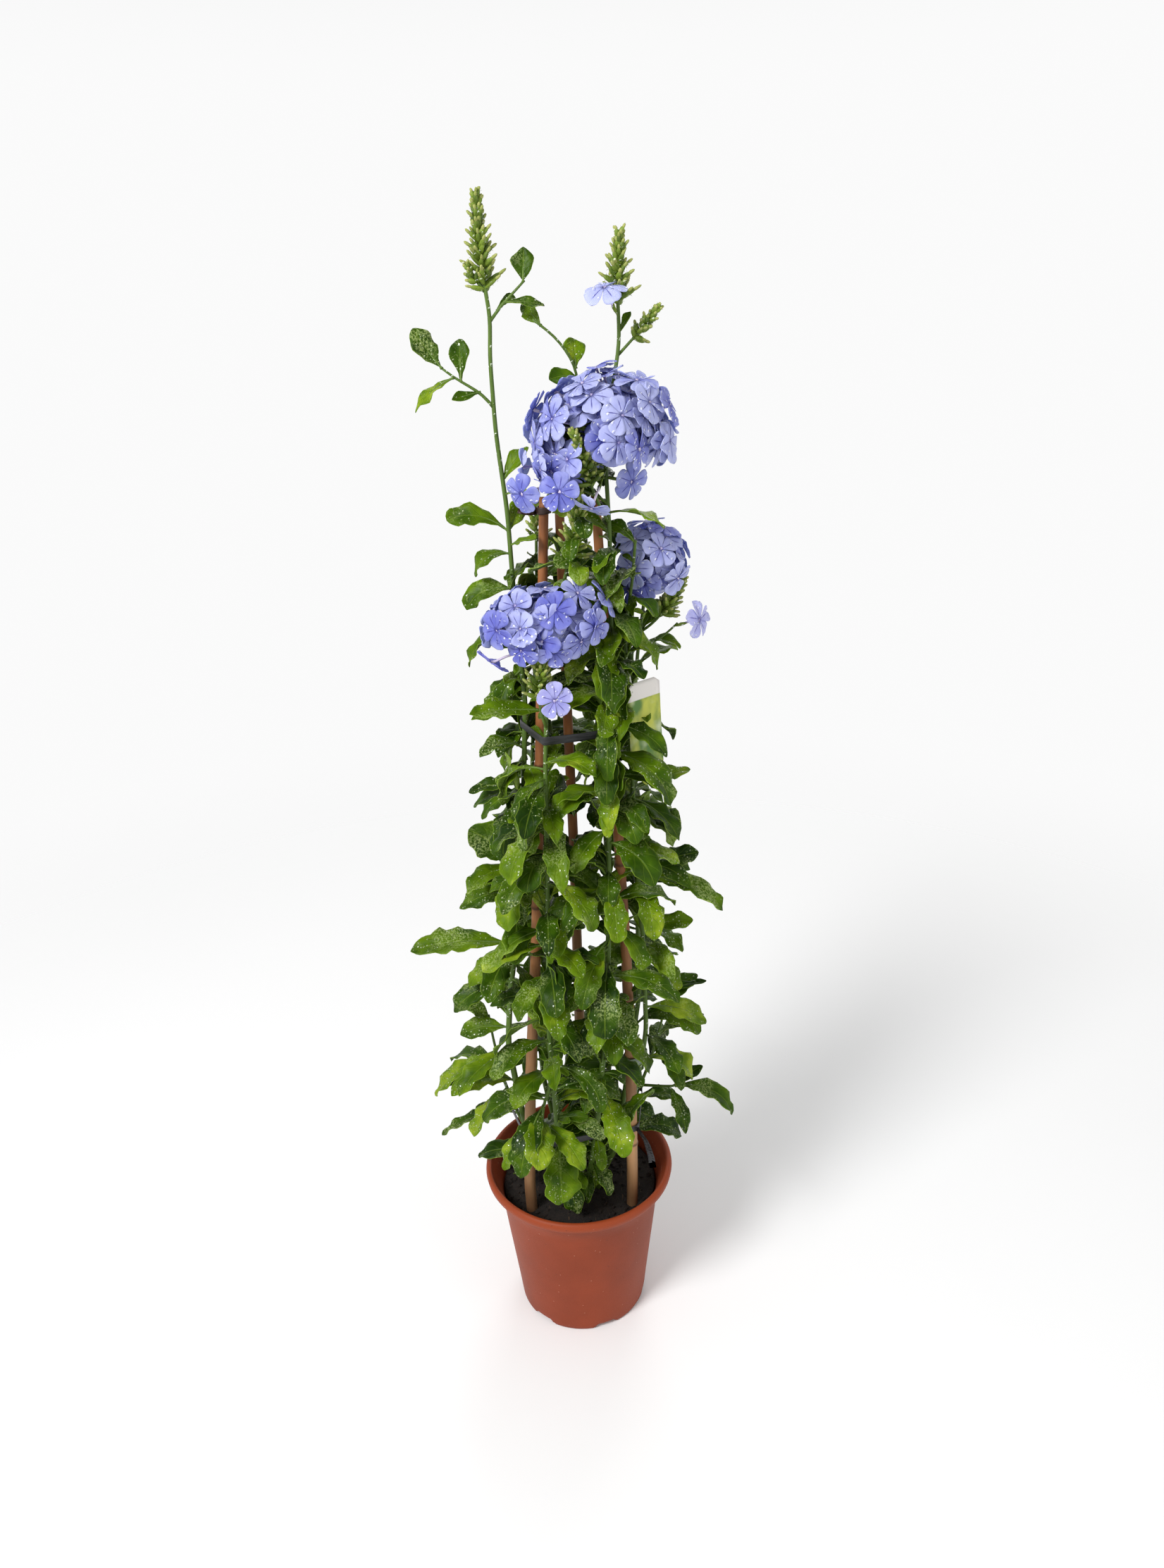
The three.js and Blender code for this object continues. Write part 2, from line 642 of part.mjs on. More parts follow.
// Canes, stems and the pot's rim are there first
for (const name of Object.keys(canes)) {
  const [line] = lines[name];
  const length = lineLength(line);
  for (let d = 0; d <= length; d += caneSampleStep) {
    occupy([pointAlong(line, d).point], caneRadii[0] + caneMargin, name);
  }
}
for (const [name, branches] of Object.entries(stems)) {
  branches.forEach((branch, n) => {
    const line = lines[name][n];
    const length = lineLength(line);
    for (let d = 0; d < length; d += stemSampleStep) {
      const radius = mix(branch.radius[0], branch.radius[1], d / length);
      occupy([pointAlong(line, d).point], radius + stemMargin, name);
    }
  });
}
for (let angle = 0; angle < 360; angle += 5) {
  for (const [inward, down] of [[3, 3], [9, 11]]) {
    const reach = rimRadius - inward;
    const [x, y] = [reach * Math.cos(angle * degrees), reach * Math.sin(angle * degrees)];
    occupy([new THREE.Vector3(x, y, potHeight - down)], rimBall, 'pot');
  }
}

// Where each band runs: the tight loop round the canes and stems inside it
function bandLoop(band) {
  const rimPoints = [];
  const names = [...Object.keys(canes), ...Object.keys(stems)];
  for (const name of names) {
    const [line] = lines[name];
    const reaches = line[line.length - 1].z > band.height + 8;
    if (!reaches || (band.round !== 'all' && !band.round.includes(name))) continue;
    const radii = canes[name] ? caneRadii : stems[name][0].radius;
    for (const height of [band.height - band.tall / 2, band.height, band.height + band.tall / 2]) {
      const centre = pointAtHeight(line, height);
      const reach = radiusAtHeight(line, radii, height) + fitGap + bandThickness / 2;
      for (let k = 0; k < loopSides; k++) {
        const angle = (k * 2 * Math.PI) / loopSides;
        const out = reach / Math.cos(Math.PI / loopSides);
        rimPoints.push([centre.x + out * Math.cos(angle), centre.y + out * Math.sin(angle)]);
      }
    }
  }
  return convexLoop(rimPoints);
}

// The convex outline of a set of flat points, anticlockwise
function convexLoop(points) {
  const sorted = [...points].sort((a, b) => a[0] - b[0] || a[1] - b[1]);
  const turnOf = (o, a, b) => (a[0] - o[0]) * (b[1] - o[1]) - (a[1] - o[1]) * (b[0] - o[0]);
  const half = (list) => {
    const chain = [];
    for (const p of list) {
      while (chain.length > 1 && turnOf(chain[chain.length - 2], chain[chain.length - 1], p) <= 1e-9) chain.pop();
      chain.push(p);
    }
    return chain.slice(0, -1);
  };
  return [...half(sorted), ...half(sorted.reverse())];
}

// Outward directions at a loop's corners
function loopNormals(loop) {
  return loop.map((p, i) => {
    const before = loop[(i + loop.length - 1) % loop.length];
    const after = loop[(i + 1) % loop.length];
    const edge = new THREE.Vector2(after[0] - before[0], after[1] - before[1]).normalize();
    return new THREE.Vector2(edge.y, -edge.x);
  });
}

function bandSolid(band) {
  const loop = bandLoop(band);
  const normals = loopNormals(loop);
  const rings = loop.map((p, i) => {
    const corner = (out, z) => new THREE.Vector3(p[0] + normals[i].x * out, p[1] + normals[i].y * out, z);
    const [inner, outer] = [-bandThickness / 2, bandThickness / 2];
    const [low, high] = [band.height - band.tall / 2, band.height + band.tall / 2];
    return [corner(inner, low), corner(outer, low), corner(outer, high), corner(inner, high)];
  });
  const solid = closedLoft(rings);
  if (!band.tail) return solid;
  const start = loop.reduce((a, b) => (gapTo(a, band.tail[0]) < gapTo(b, band.tail[0]) ? a : b));
  return solid.add(stripSolid([[...start, band.height], ...band.tail], band.tall));
}

const gapTo = (a, b) => Math.hypot(a[0] - b[0], a[1] - b[1]);

// A loose strip of tape that stands on edge along a line
function stripSolid(path, tall) {
  const line = lineOf(path);
  const rings = line.map((point, i) => {
    const before = line[Math.max(0, i - 1)];
    const after = line[Math.min(line.length - 1, i + 1)];
    const tangent = after.clone().sub(before).normalize();
    const side = new THREE.Vector3(0, 0, 1).cross(tangent).normalize();
    const tallWay = tangent.clone().cross(side).normalize();
    return [[-1, -1], [1, -1], [1, 1], [-1, 1]].map(([a, b]) => point.clone()
      .addScaledVector(side, (a * bandThickness) / 2)
      .addScaledVector(tallWay, (b * tall) / 2));
  });
  return loftSolid(rings);
}

for (const [name, band] of Object.entries(bands)) {
  const loop = bandLoop(band);
  loop.forEach((p, i) => {
    const after = loop[(i + 1) % loop.length];
    const steps = Math.max(1, Math.ceil(gapTo(after, p) / caneSampleStep));
    for (let k = 0; k < steps; k++) {
      const [x, y] = [mix(p[0], after[0], k / steps), mix(p[1], after[1], k / steps)];
      occupy([new THREE.Vector3(x, y, band.height)], bandBall, name);
    }
  });
  if (band.tail) occupy(lineOf(band.tail), bandBall, name);
}

// The hanging tag: a rounded plate that looks to the front and right, a ring round the stem, and a strap
// between them
function tagFrame() {
  const [lean, turn] = [tag.lean * degrees, tag.turn * degrees];
  const flat = new THREE.Vector3(Math.cos(turn), Math.sin(turn), 0);
  const along = flat.clone().multiplyScalar(Math.cos(lean)).setZ(Math.sin(lean));
  const down = flat.multiplyScalar(Math.sin(lean)).setZ(-Math.cos(lean));
  return { along, down };
}

function tagPlate() {
  const { along, down } = tagFrame();
  const shape = new THREE.Shape();
  shape.moveTo(tag.rounding, 0);
  shape.lineTo(tag.wide - tag.rounding, 0);
  shape.quadraticCurveTo(tag.wide, 0, tag.wide, tag.rounding);
  shape.lineTo(tag.wide, tag.tall - tag.pointTall);
  shape.lineTo((tag.wide + tag.pointWide) / 2, tag.tall);
  shape.lineTo((tag.wide - tag.pointWide) / 2, tag.tall);
  shape.lineTo(0, tag.tall - tag.pointTall);
  shape.lineTo(0, tag.rounding);
  shape.quadraticCurveTo(0, 0, tag.rounding, 0);
  const plate = new THREE.ExtrudeGeometry(shape, { depth: tag.thick, bevelEnabled: false, curveSegments: 3 });
  plate.applyMatrix4(new THREE.Matrix4().makeBasis(along, down, along.clone().cross(down)));
  plate.translate(...tag.corner);
  return solidOf(plate);
}

function tagSolid() {
  const { along, down } = tagFrame();
  const line = lines[tag.stem][0];
  const at = pointAlong(line, distanceAtHeight(line, tag.ringHeight));
  const side = new THREE.Vector3(0, 1, 0).addScaledVector(at.tangent, -at.tangent.y).normalize();
  const other = at.tangent.clone().cross(side);
  const inner = radiusAtHeight(line, stems[tag.stem][0].radius, tag.ringHeight) + fitGap;
  const outer = inner + tag.ringThick;
  const section = [[inner, -1], [outer, -1], [outer, 1], [inner, 1]];
  const ring = closedLoft(Array.from({ length: tag.ringSides }, (_, k) => {
    const angle = (2 * Math.PI * k) / tag.ringSides;
    const out = side.clone().multiplyScalar(Math.cos(angle)).addScaledVector(other, Math.sin(angle));
    return section.map(([reach, rise]) => offset(at.point, out, reach, at.tangent, rise * tag.ringHalfTall));
  }));
  const strapEnd = offset(vector(tag.corner), along, tag.strapTo[0], down, tag.strapTo[1]);
  const reach = strapEnd.clone().sub(at.point);
  const outward = reach.addScaledVector(at.tangent, -reach.dot(at.tangent)).normalize();
  const strapStart = at.point.clone().addScaledVector(outward, (inner + outer) / 2);
  const strapLine = [strapStart, strapStart.clone().addScaledVector(outward, 3 * tag.strapRadius), strapEnd];
  const strap = loftSolid(tubeRings(strapLine, [tag.strapRadius, tag.strapRadius], 5));
  return joined([tagPlate(), ring, strap]);
}

// A skin over rings that run round to the first one again
function closedLoft(rings) {
  const count = rings[0].length;
  const faces = [];
  rings.forEach((_, i) => {
    const next = ((i + 1) % rings.length) * count;
    for (let k = 0; k < count; k++) {
      const [a, b] = [i * count + k, i * count + ((k + 1) % count)];
      const [c, d] = [next + ((k + 1) % count), next + k];
      faces.push(a, d, b, b, d, c);
    }
  });
  return solidOf(geometryFrom(rings.flat(), faces));
}

const tagColumns = 5;
const tagRows = 13;
for (let a = 0; a <= tagColumns; a++) {
  for (let b = 0; b <= tagRows; b++) {
    const { along, down } = tagFrame();
    const point = offset(vector(tag.corner), along, (tag.wide * a) / tagColumns, down, (tag.tall * b) / tagRows);
    occupy([point], plateBall, 'tag');
  }
}
const ringCentre = pointAtHeight(lines[tag.stem][0], tag.ringHeight);
for (const share of [0, 0.33, 0.66, 1]) {
  occupy([ringCentre.clone().lerp(vector(tag.corner), share)], rimBall, 'tag');
}

// Bud spikes: slim pointed bracts, spiralling up the end of a branch
function spikeBracts(branch, line) {
  const whole = lineLength(line);
  const { length, reach, bracts } = branch.spike;
  return Array.from({ length: bracts }, (_, i) => {
    const share = (i + 0.5) / bracts;
    const { point, tangent } = pointAlong(line, whole - length * (1 - share));
    const turn = i * goldenAngle * degrees;
    const side = new THREE.Vector3(1, 0, 0).addScaledVector(tangent, -tangent.x).normalize();
    const other = tangent.clone().cross(side);
    const out = side.multiplyScalar(Math.cos(turn)).addScaledVector(other, Math.sin(turn));
    const rise = mix(0.5, 1.6, share ** 2);
    const way = out.clone().addScaledVector(tangent, rise).normalize();
    return { root: point, way, length: reach * mix(1.15, 0.62, share) };
  });
}

function bractSolid(bract) {
  const across = new THREE.Vector3(0, 0, 1).cross(bract.way).normalize();
  const up = bract.way.clone().cross(across);
  const middle = bract.root.clone().addScaledVector(bract.way, bract.length * 0.5);
  const tip = bract.root.clone().addScaledVector(bract.way, bract.length);
  const ring = [0, 120, 240].map((turn) => (
    offset(middle, across, bractRadius * Math.cos(turn * degrees), up, bractRadius * Math.sin(turn * degrees))));
  return loftSolid([ring.map(() => bract.root.clone()), ring, ring.map(() => tip.clone())], false);
}

const bractLists = {};
for (const [name, branches] of Object.entries(stems)) {
  bractLists[name] = branches.map((branch, n) => {
    if (!branch.spike) return [];
    const bracts = spikeBracts(branch, lines[name][n]);
    for (const bract of bracts) {
      for (const share of [0.25, 0.6, 1]) {
        occupy([bract.root.clone().addScaledVector(bract.way, bract.length * share)], bractBall, name);
      }
    }
    return bracts;
  });
}

// A floret: five rounded petals round a throat, on a long slender tube
function floretFrame(face, towards) {
  const normal = vector(towards).normalize();
  const helper = Math.abs(normal.z) > 0.9 ? new THREE.Vector3(1, 0, 0) : new THREE.Vector3(0, 0, 1);
  const side = helper.clone().cross(normal).normalize();
  return { normal, side, up: normal.clone().cross(side), face: vector(face) };
}

// A petal's outline as [angle from the petal's middle in degrees, share of the petal's length, lift]
const petalOutline = [[-36, 0.25, 0], [-27, 0.8, -0.5], [1, 1.02, 0.2], [27, 0.82, 0.5]];

function floretSolid(floret) {
  const { normal, side, up, face } = floretFrame(floret.face, floret.towards);
  const at = (angle, radius, height) => (
    offset(face, side, radius * Math.cos(angle * degrees), up, radius * Math.sin(angle * degrees))
      .addScaledVector(normal, height));
  const points = [at(0, 0, corollaThickness * 0.35)];
  for (let petal = 0; petal < 5; petal++) {
    for (const [turn, reach, lift] of petalOutline) {
      const height = lift - floret.bend * reach * reach * 4;
      points.push(at(petal * 72 + turn + floret.spin, petalLength * reach * floret.size, height));
    }
  }
  const edgeCount = points.length - 1;
  const throat = points.length;
  const axis = face.clone().sub(floret.root).normalize();
  const tubeSide = side.clone().addScaledVector(axis, -side.dot(axis)).normalize();
  const tubeUp = axis.clone().cross(tubeSide);
  for (let k = 0; k < 3; k++) points.push(at(k * 120 + floret.spin, corollaThroat, -corollaThickness));
  for (let k = 0; k < 3; k++) {
    const angle = (k * 120 + floret.spin) * degrees;
    points.push(offset(floret.root, tubeSide, tubeRadius * Math.cos(angle), tubeUp, tubeRadius * Math.sin(angle)));
  }
  const faces = [[throat + 3, throat + 5, throat + 4]];
  const sector = (i) => Math.round((3 * i) / edgeCount) % 3;
  for (let i = 0; i < edgeCount; i++) {
    const next = (i + 1) % edgeCount;
    faces.push([0, 1 + i, 1 + next], [1 + next, 1 + i, throat + sector(i)]);
    if (sector(i) !== sector(next)) faces.push([1 + next, throat + sector(i), throat + sector(next)]);
  }
  for (let k = 0; k < 3; k++) {
    const next = (k + 1) % 3;
    faces.push([throat + next, throat + k, throat + 3 + k], [throat + next, throat + 3 + k, throat + 3 + next]);
  }
  return solidOf(geometryFrom(points, faces));
}

function floretSamples(floret) {
  const { side, up, face } = floretFrame(floret.face, floret.towards);
  const points = [face];
  for (let petal = 0; petal < 5; petal++) {
    for (const [turn, reach] of [[0, 0.5], [0, 1], [-24, 0.8], [24, 0.8]]) {
      const angle = (petal * 72 + turn + floret.spin) * degrees;
      const radius = petalLength * reach * floret.size;
      points.push(offset(face, side, radius * Math.cos(angle), up, radius * Math.sin(angle)));
    }
  }
  return points;
}

// A head's florets lie over an ellipsoid by the golden angle. Those that meet something else are left out.
const floretLists = {};
for (const [name, head] of Object.entries(heads)) {
  const line = lines[head.stem][0];
  const list = [];
  const addFloret = (face, towards, rootShare) => {
    const height = mix(head.between[0], head.between[1], rootShare);
    const root = pointAlong(line, distanceAtHeight(line, height)).point;
    const [spin, size, bend] = [between(0, 72), between(0.92, 1.1), between(0.1, 0.9)];
    const floret = { face, towards, root, spin, size, bend };
    const samples = floretSamples(floret);
    const tube = [0.4, 0.5, 0.6, 0.7, 0.8].map((share) => root.clone().lerp(samples[0], share));
    const faceClear = isClear(samples.map((p) => ({ p, ball: ownPetalBall })), name);
    const tubeClear = isClear(tube.map((p) => ({ p, ball: flowerTubeBall })), name);
    if (!faceClear || !tubeClear) return;
    list.push(floret);
    occupy(samples, petalBall, name);
    occupy(tube, flowerTubeBall, name);
  };
  for (let i = 0; i < head.florets; i++) {
    const rise = 1 - ((1 - head.lowest) * (i + 0.5)) / head.florets;
    const flat = Math.sqrt(1 - rise * rise);
    const turn = (head.turn + i * goldenAngle) * degrees;
    const way = [flat * Math.cos(turn), flat * Math.sin(turn), rise];
    const depth = between(0.88, 1.04);
    const face = way.map((w, k) => head.centre[k] + w * head.half[k] * depth);
    face[0] += (head.slant ?? 0) * rise;
    const jitter = [between(-0.25, 0.25), between(-0.25, 0.25), between(-0.1, 0.35)];
    const towards = [way[0] + jitter[0], way[1] + jitter[1], way[2] * 0.9 + jitter[2]];
    const isOpen = rise < (head.openBelow ?? -1) && way[0] > 0.15;
    if (!isOpen) addFloret(face, towards, clamp01(0.5 + rise * 0.5));
  }
  for (const [face, towards] of head.loose) addFloret(face, towards, 0.2);
  floretLists[name] = list;
}
for (const [name, single] of Object.entries(singleFlowers)) {
  const { face, towards, root, bend } = single;
  const floret = { face, towards, root: vector(root), spin: 18, size: 1.05, bend };
  floretLists[name] = [floret];
  occupy(floretSamples(floret), petalBall, name);
}

// Leaves: those that are listed first, then the rule's, from the bottom up
const leafLists = {};
for (const name of Object.keys(stems)) leafLists[name] = [];
const columnAxis = (height) => new THREE.Vector2(mix(0, 14, clamp01(height / 800)), 0);

for (const [name, branches] of Object.entries(stems)) {
  branches.forEach((branch, n) => {
    for (const [height, azimuth, lift, droop, length, width, roll = 0] of branch.leaves ?? []) {
      const line = lines[name][n];
      const root = pointAlong(line, distanceAtHeight(line, height)).point;
      const leaf = placeLeaf({ root, azimuth, lift, droop, length, width, roll }, name);
      if (leaf) leafLists[name].push(leaf);
    }
  });
}
for (const [name, branches] of Object.entries(stems)) {
  const { rule } = branches[0];
  const line = lines[name][0];
  const start = distanceAtHeight(line, rule.from);
  const end = distanceAtHeight(line, rule.to);
  const count = Math.floor((end - start) / rule.every);
  for (let i = 0; i < count; i++) {
    const { point } = pointAlong(line, start + i * rule.every + between(0, 8));
    const share = i / count;
    const axis = columnAxis(point.z);
    const outward = Math.atan2(point.y - axis.y, point.x - axis.x) / degrees;
    const spiral = ((rule.turn + i * goldenAngle) % 360) - 180;
    const azimuth = outward + spiral * rule.spread;
    const length = mix(rule.long[0], rule.long[1], share) * between(0.85, 1.15);
    const ruled = {
      root: point,
      azimuth,
      lift: between(rule.lift[0], rule.lift[1]),
      droop: between(60, 115) * mix(1, 0.85, share),
      length,
      width: length * between(0.29, 0.36),
      roll: facingRoll * Math.cos(azimuth * degrees),
    };
    if (point.z <= bareHeight && Math.sin(azimuth * degrees) <= -0.2) continue;
    const leaf = placeLeaf(ruled, name);
    if (leaf) leafLists[name].push(leaf);
  }
}

// The pot: a turned body with a flared, rolled rim and drain notches at its base
function potSolid() {
  const lip = [
    [rimRadius - 9, potHeight - 13], [rimRadius - 2, potHeight - 7], [rimRadius, potHeight - 4.5],
    [rimRadius - 1.4, potHeight - 1], [rimRadius - 4.6, potHeight], [rimRadius - 11, potHeight - 11],
  ];
  const profile = [
    [0, 0], [baseRadius - 2, 0], [baseRadius, 2], [bodyTopRadius, bodyTopHeight],
    ...lip,
    [bodyTopRadius - wallThickness, bodyTopHeight], [baseRadius - wallThickness, floorThickness],
    [0, floorThickness],
  ];
  const turned = new THREE.LatheGeometry(profile.map(([x, y]) => new THREE.Vector2(x, y)), potSides);
  turned.rotateX(Math.PI / 2);
  let pot = solidOf(turned);
  if (pot.volume() < 0) throw new Error('the pot is inside out');
  for (let i = 0; i < drainNotches; i++) {
    const box = new THREE.BoxGeometry(drainNotchSize.radial, drainNotchSize.across, drainNotchSize.high * 2);
    box.translate(baseRadius - 1, 0, 0);
    box.rotateZ((firstNotchAngle + (360 / drainNotches) * i) * degrees);
    pot = pot.subtract(solidOf(box));
  }
  return pot;
}

// The soil fills the pot, with a hole for each cane and stem
function soilSolid(sunk) {
  const inner = (height) => mix(baseRadius - wallThickness, bodyTopRadius - wallThickness,
    (height - floorThickness) / (bodyTopHeight - floorThickness)) - fitGap * 1.5;
  const low = floorThickness + fitGap;
  const profile = [
    [0, low], [inner(low) - 7, low], [inner(low + 8), low + 8], [inner(soilHeight - 5), soilHeight - 5],
    [inner(soilHeight - 3) - 3, soilHeight - 2], [50, soilHeight], [24, soilHeight - 1.6], [0, soilHeight + 0.6],
  ];
  const turned = new THREE.LatheGeometry(profile.map(([x, y]) => new THREE.Vector2(x, y)), soilSides);
  turned.rotateX(Math.PI / 2);
  return sunk.reduce((soil, hole) => soil.subtract(hole), solidOf(turned));
}

function caneRings(name, extra) {
  const [line] = lines[name];
  const length = lineLength(line);
  const nodeRows = canes[name].nodes.flatMap((height) => {
    const at = distanceAtHeight(line, height);
    return [[at - caneNodeHalf, 0], [at, caneNodeBulge], [at + caneNodeHalf, 0]];
  });
  const rows = [[0, 0], ...nodeRows, [length, 0]];
  return rows.map(([at, bulge]) => {
    const { point, tangent } = pointAlong(line, at);
    const side = new THREE.Vector3(1, 0, 0).addScaledVector(tangent, -tangent.x).normalize();
    const other = tangent.clone().cross(side);
    const radius = mix(caneRadii[0], caneRadii[1], at / length) + bulge + extra;
    return Array.from({ length: caneSides }, (_, k) => {
      const angle = (2 * Math.PI * k) / caneSides;
      return offset(point, side, radius * Math.cos(angle), other, radius * Math.sin(angle));
    });
  });
}

const branchRings = (branch, line, extra) => tubeRings(line, branch.radius, stemSides, extra);
const branchSolid = (branch, line, extra = 0) => loftSolid(branchRings(branch, line, extra));

function leafyStemSolid(name) {
  const pieces = stems[name].map((branch, n) => branchSolid(branch, lines[name][n]));
  for (const leaf of leafLists[name]) pieces.push(leafSolid(leaf));
  for (const bract of bractLists[name].flat()) pieces.push(bractSolid(bract));
  return largestPiece(joined(pieces));
}

// A head's florets stand out of a small core, which the stem passes through
function flowerSolid(name) {
  const florets = floretLists[name].map(floretSolid);
  const head = heads[name];
  if (head) {
    const line = lines[head.stem][0];
    const [low, high] = head.between.map((height) => pointAlong(line, distanceAtHeight(line, height)).point);
    const core = new THREE.SphereGeometry(1, 8, 6);
    core.rotateX(Math.PI / 2);
    core.scale(head.half[0] * coreShare, head.half[1] * coreShare, high.distanceTo(low) * coreHeightShare);
    core.translate(...low.clone().lerp(high, 0.5).toArray());
    florets.push(solidOf(core));
  }
  const { stem } = head ?? singleFlowers[name];
  const holes = stems[stem].map((branch, n) => branchSolid(branch, lines[stem][n], fitGap));
  return largestPiece(joined(florets).subtract(joined(holes)));
}

// Colours
const finish = (color, roughness) => new THREE.MeshStandardMaterial({ color, roughness, metalness: 0 });
const potFinish = finish(0xa85537, 0.55);
const soilFinish = finish(0x2a211d, 1);
const caneFinish = finish(0xb98a5a, 0.6);
const leafFinish = finish(0x4f8a1f, 0.5);
const flowerFinish = finish(0x8d9be6, 0.7);
const tapeFinish = finish(0x2b2e2f, 0.8);
const tagFinish = finish(0xf0ece2, 0.5);

const plant = new THREE.Group();
function addPiece(name, solid, material) {
  const mesh = new THREE.Mesh(geometryOf(solid), material);
  mesh.name = name;
  plant.add(mesh);
}

addPiece('pot', potSolid(), potFinish);
const sunkPieces = Object.keys(canes).map((name) => loftSolid(caneRings(name, holeGap).slice(0, 2)));
for (const [name, branches] of Object.entries(stems)) {
  const [line] = lines[name];
  const ringsInSoil = 1 + line.findIndex((point) => point.z > soilHeight + 3);
  sunkPieces.push(loftSolid(branchRings(branches[0], line, holeGap).slice(0, ringsInSoil)));
}
addPiece('soil', soilSolid(sunkPieces), soilFinish);
for (const name of Object.keys(canes)) addPiece(name, loftSolid(caneRings(name, 0)), caneFinish);
for (const [name, band] of Object.entries(bands)) addPiece(name, bandSolid(band), tapeFinish);
addPiece('tag', tagSolid(), tagFinish);
for (const name of Object.keys(stems)) addPiece(name, leafyStemSolid(name), leafFinish);
for (const name of Object.keys(floretLists)) addPiece(name, flowerSolid(name), flowerFinish);

export default plant;
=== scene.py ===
import math

import bmesh
import bpy
from mathutils import Matrix, Vector, noise


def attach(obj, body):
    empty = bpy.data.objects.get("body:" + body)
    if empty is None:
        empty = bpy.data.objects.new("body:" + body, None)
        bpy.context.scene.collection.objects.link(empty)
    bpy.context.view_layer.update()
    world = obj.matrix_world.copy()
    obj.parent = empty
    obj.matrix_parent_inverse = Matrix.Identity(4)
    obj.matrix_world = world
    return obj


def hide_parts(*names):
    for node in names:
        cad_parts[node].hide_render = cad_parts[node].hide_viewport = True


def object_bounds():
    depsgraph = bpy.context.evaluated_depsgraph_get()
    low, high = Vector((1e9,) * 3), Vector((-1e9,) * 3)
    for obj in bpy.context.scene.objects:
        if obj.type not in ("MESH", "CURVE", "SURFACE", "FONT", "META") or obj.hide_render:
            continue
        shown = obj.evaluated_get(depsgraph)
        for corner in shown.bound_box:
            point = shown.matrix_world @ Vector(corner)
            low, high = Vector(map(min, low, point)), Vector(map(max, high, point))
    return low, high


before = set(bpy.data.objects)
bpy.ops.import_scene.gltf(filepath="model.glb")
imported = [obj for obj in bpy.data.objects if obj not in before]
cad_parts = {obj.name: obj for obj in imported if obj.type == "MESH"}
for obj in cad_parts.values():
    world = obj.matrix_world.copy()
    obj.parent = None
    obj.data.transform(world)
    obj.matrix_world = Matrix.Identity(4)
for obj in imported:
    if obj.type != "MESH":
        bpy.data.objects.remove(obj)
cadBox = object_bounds()
print("frame loaded")

mm = 0.001  # the plant is worked out in millimetres, as in the CAD, and its meshes are in metres
golden = 137.5  # degrees from one leaf or bud of a spiral to the next
eye = (14.6, -825, 868)  # where the photograph was taken from, in millimetres

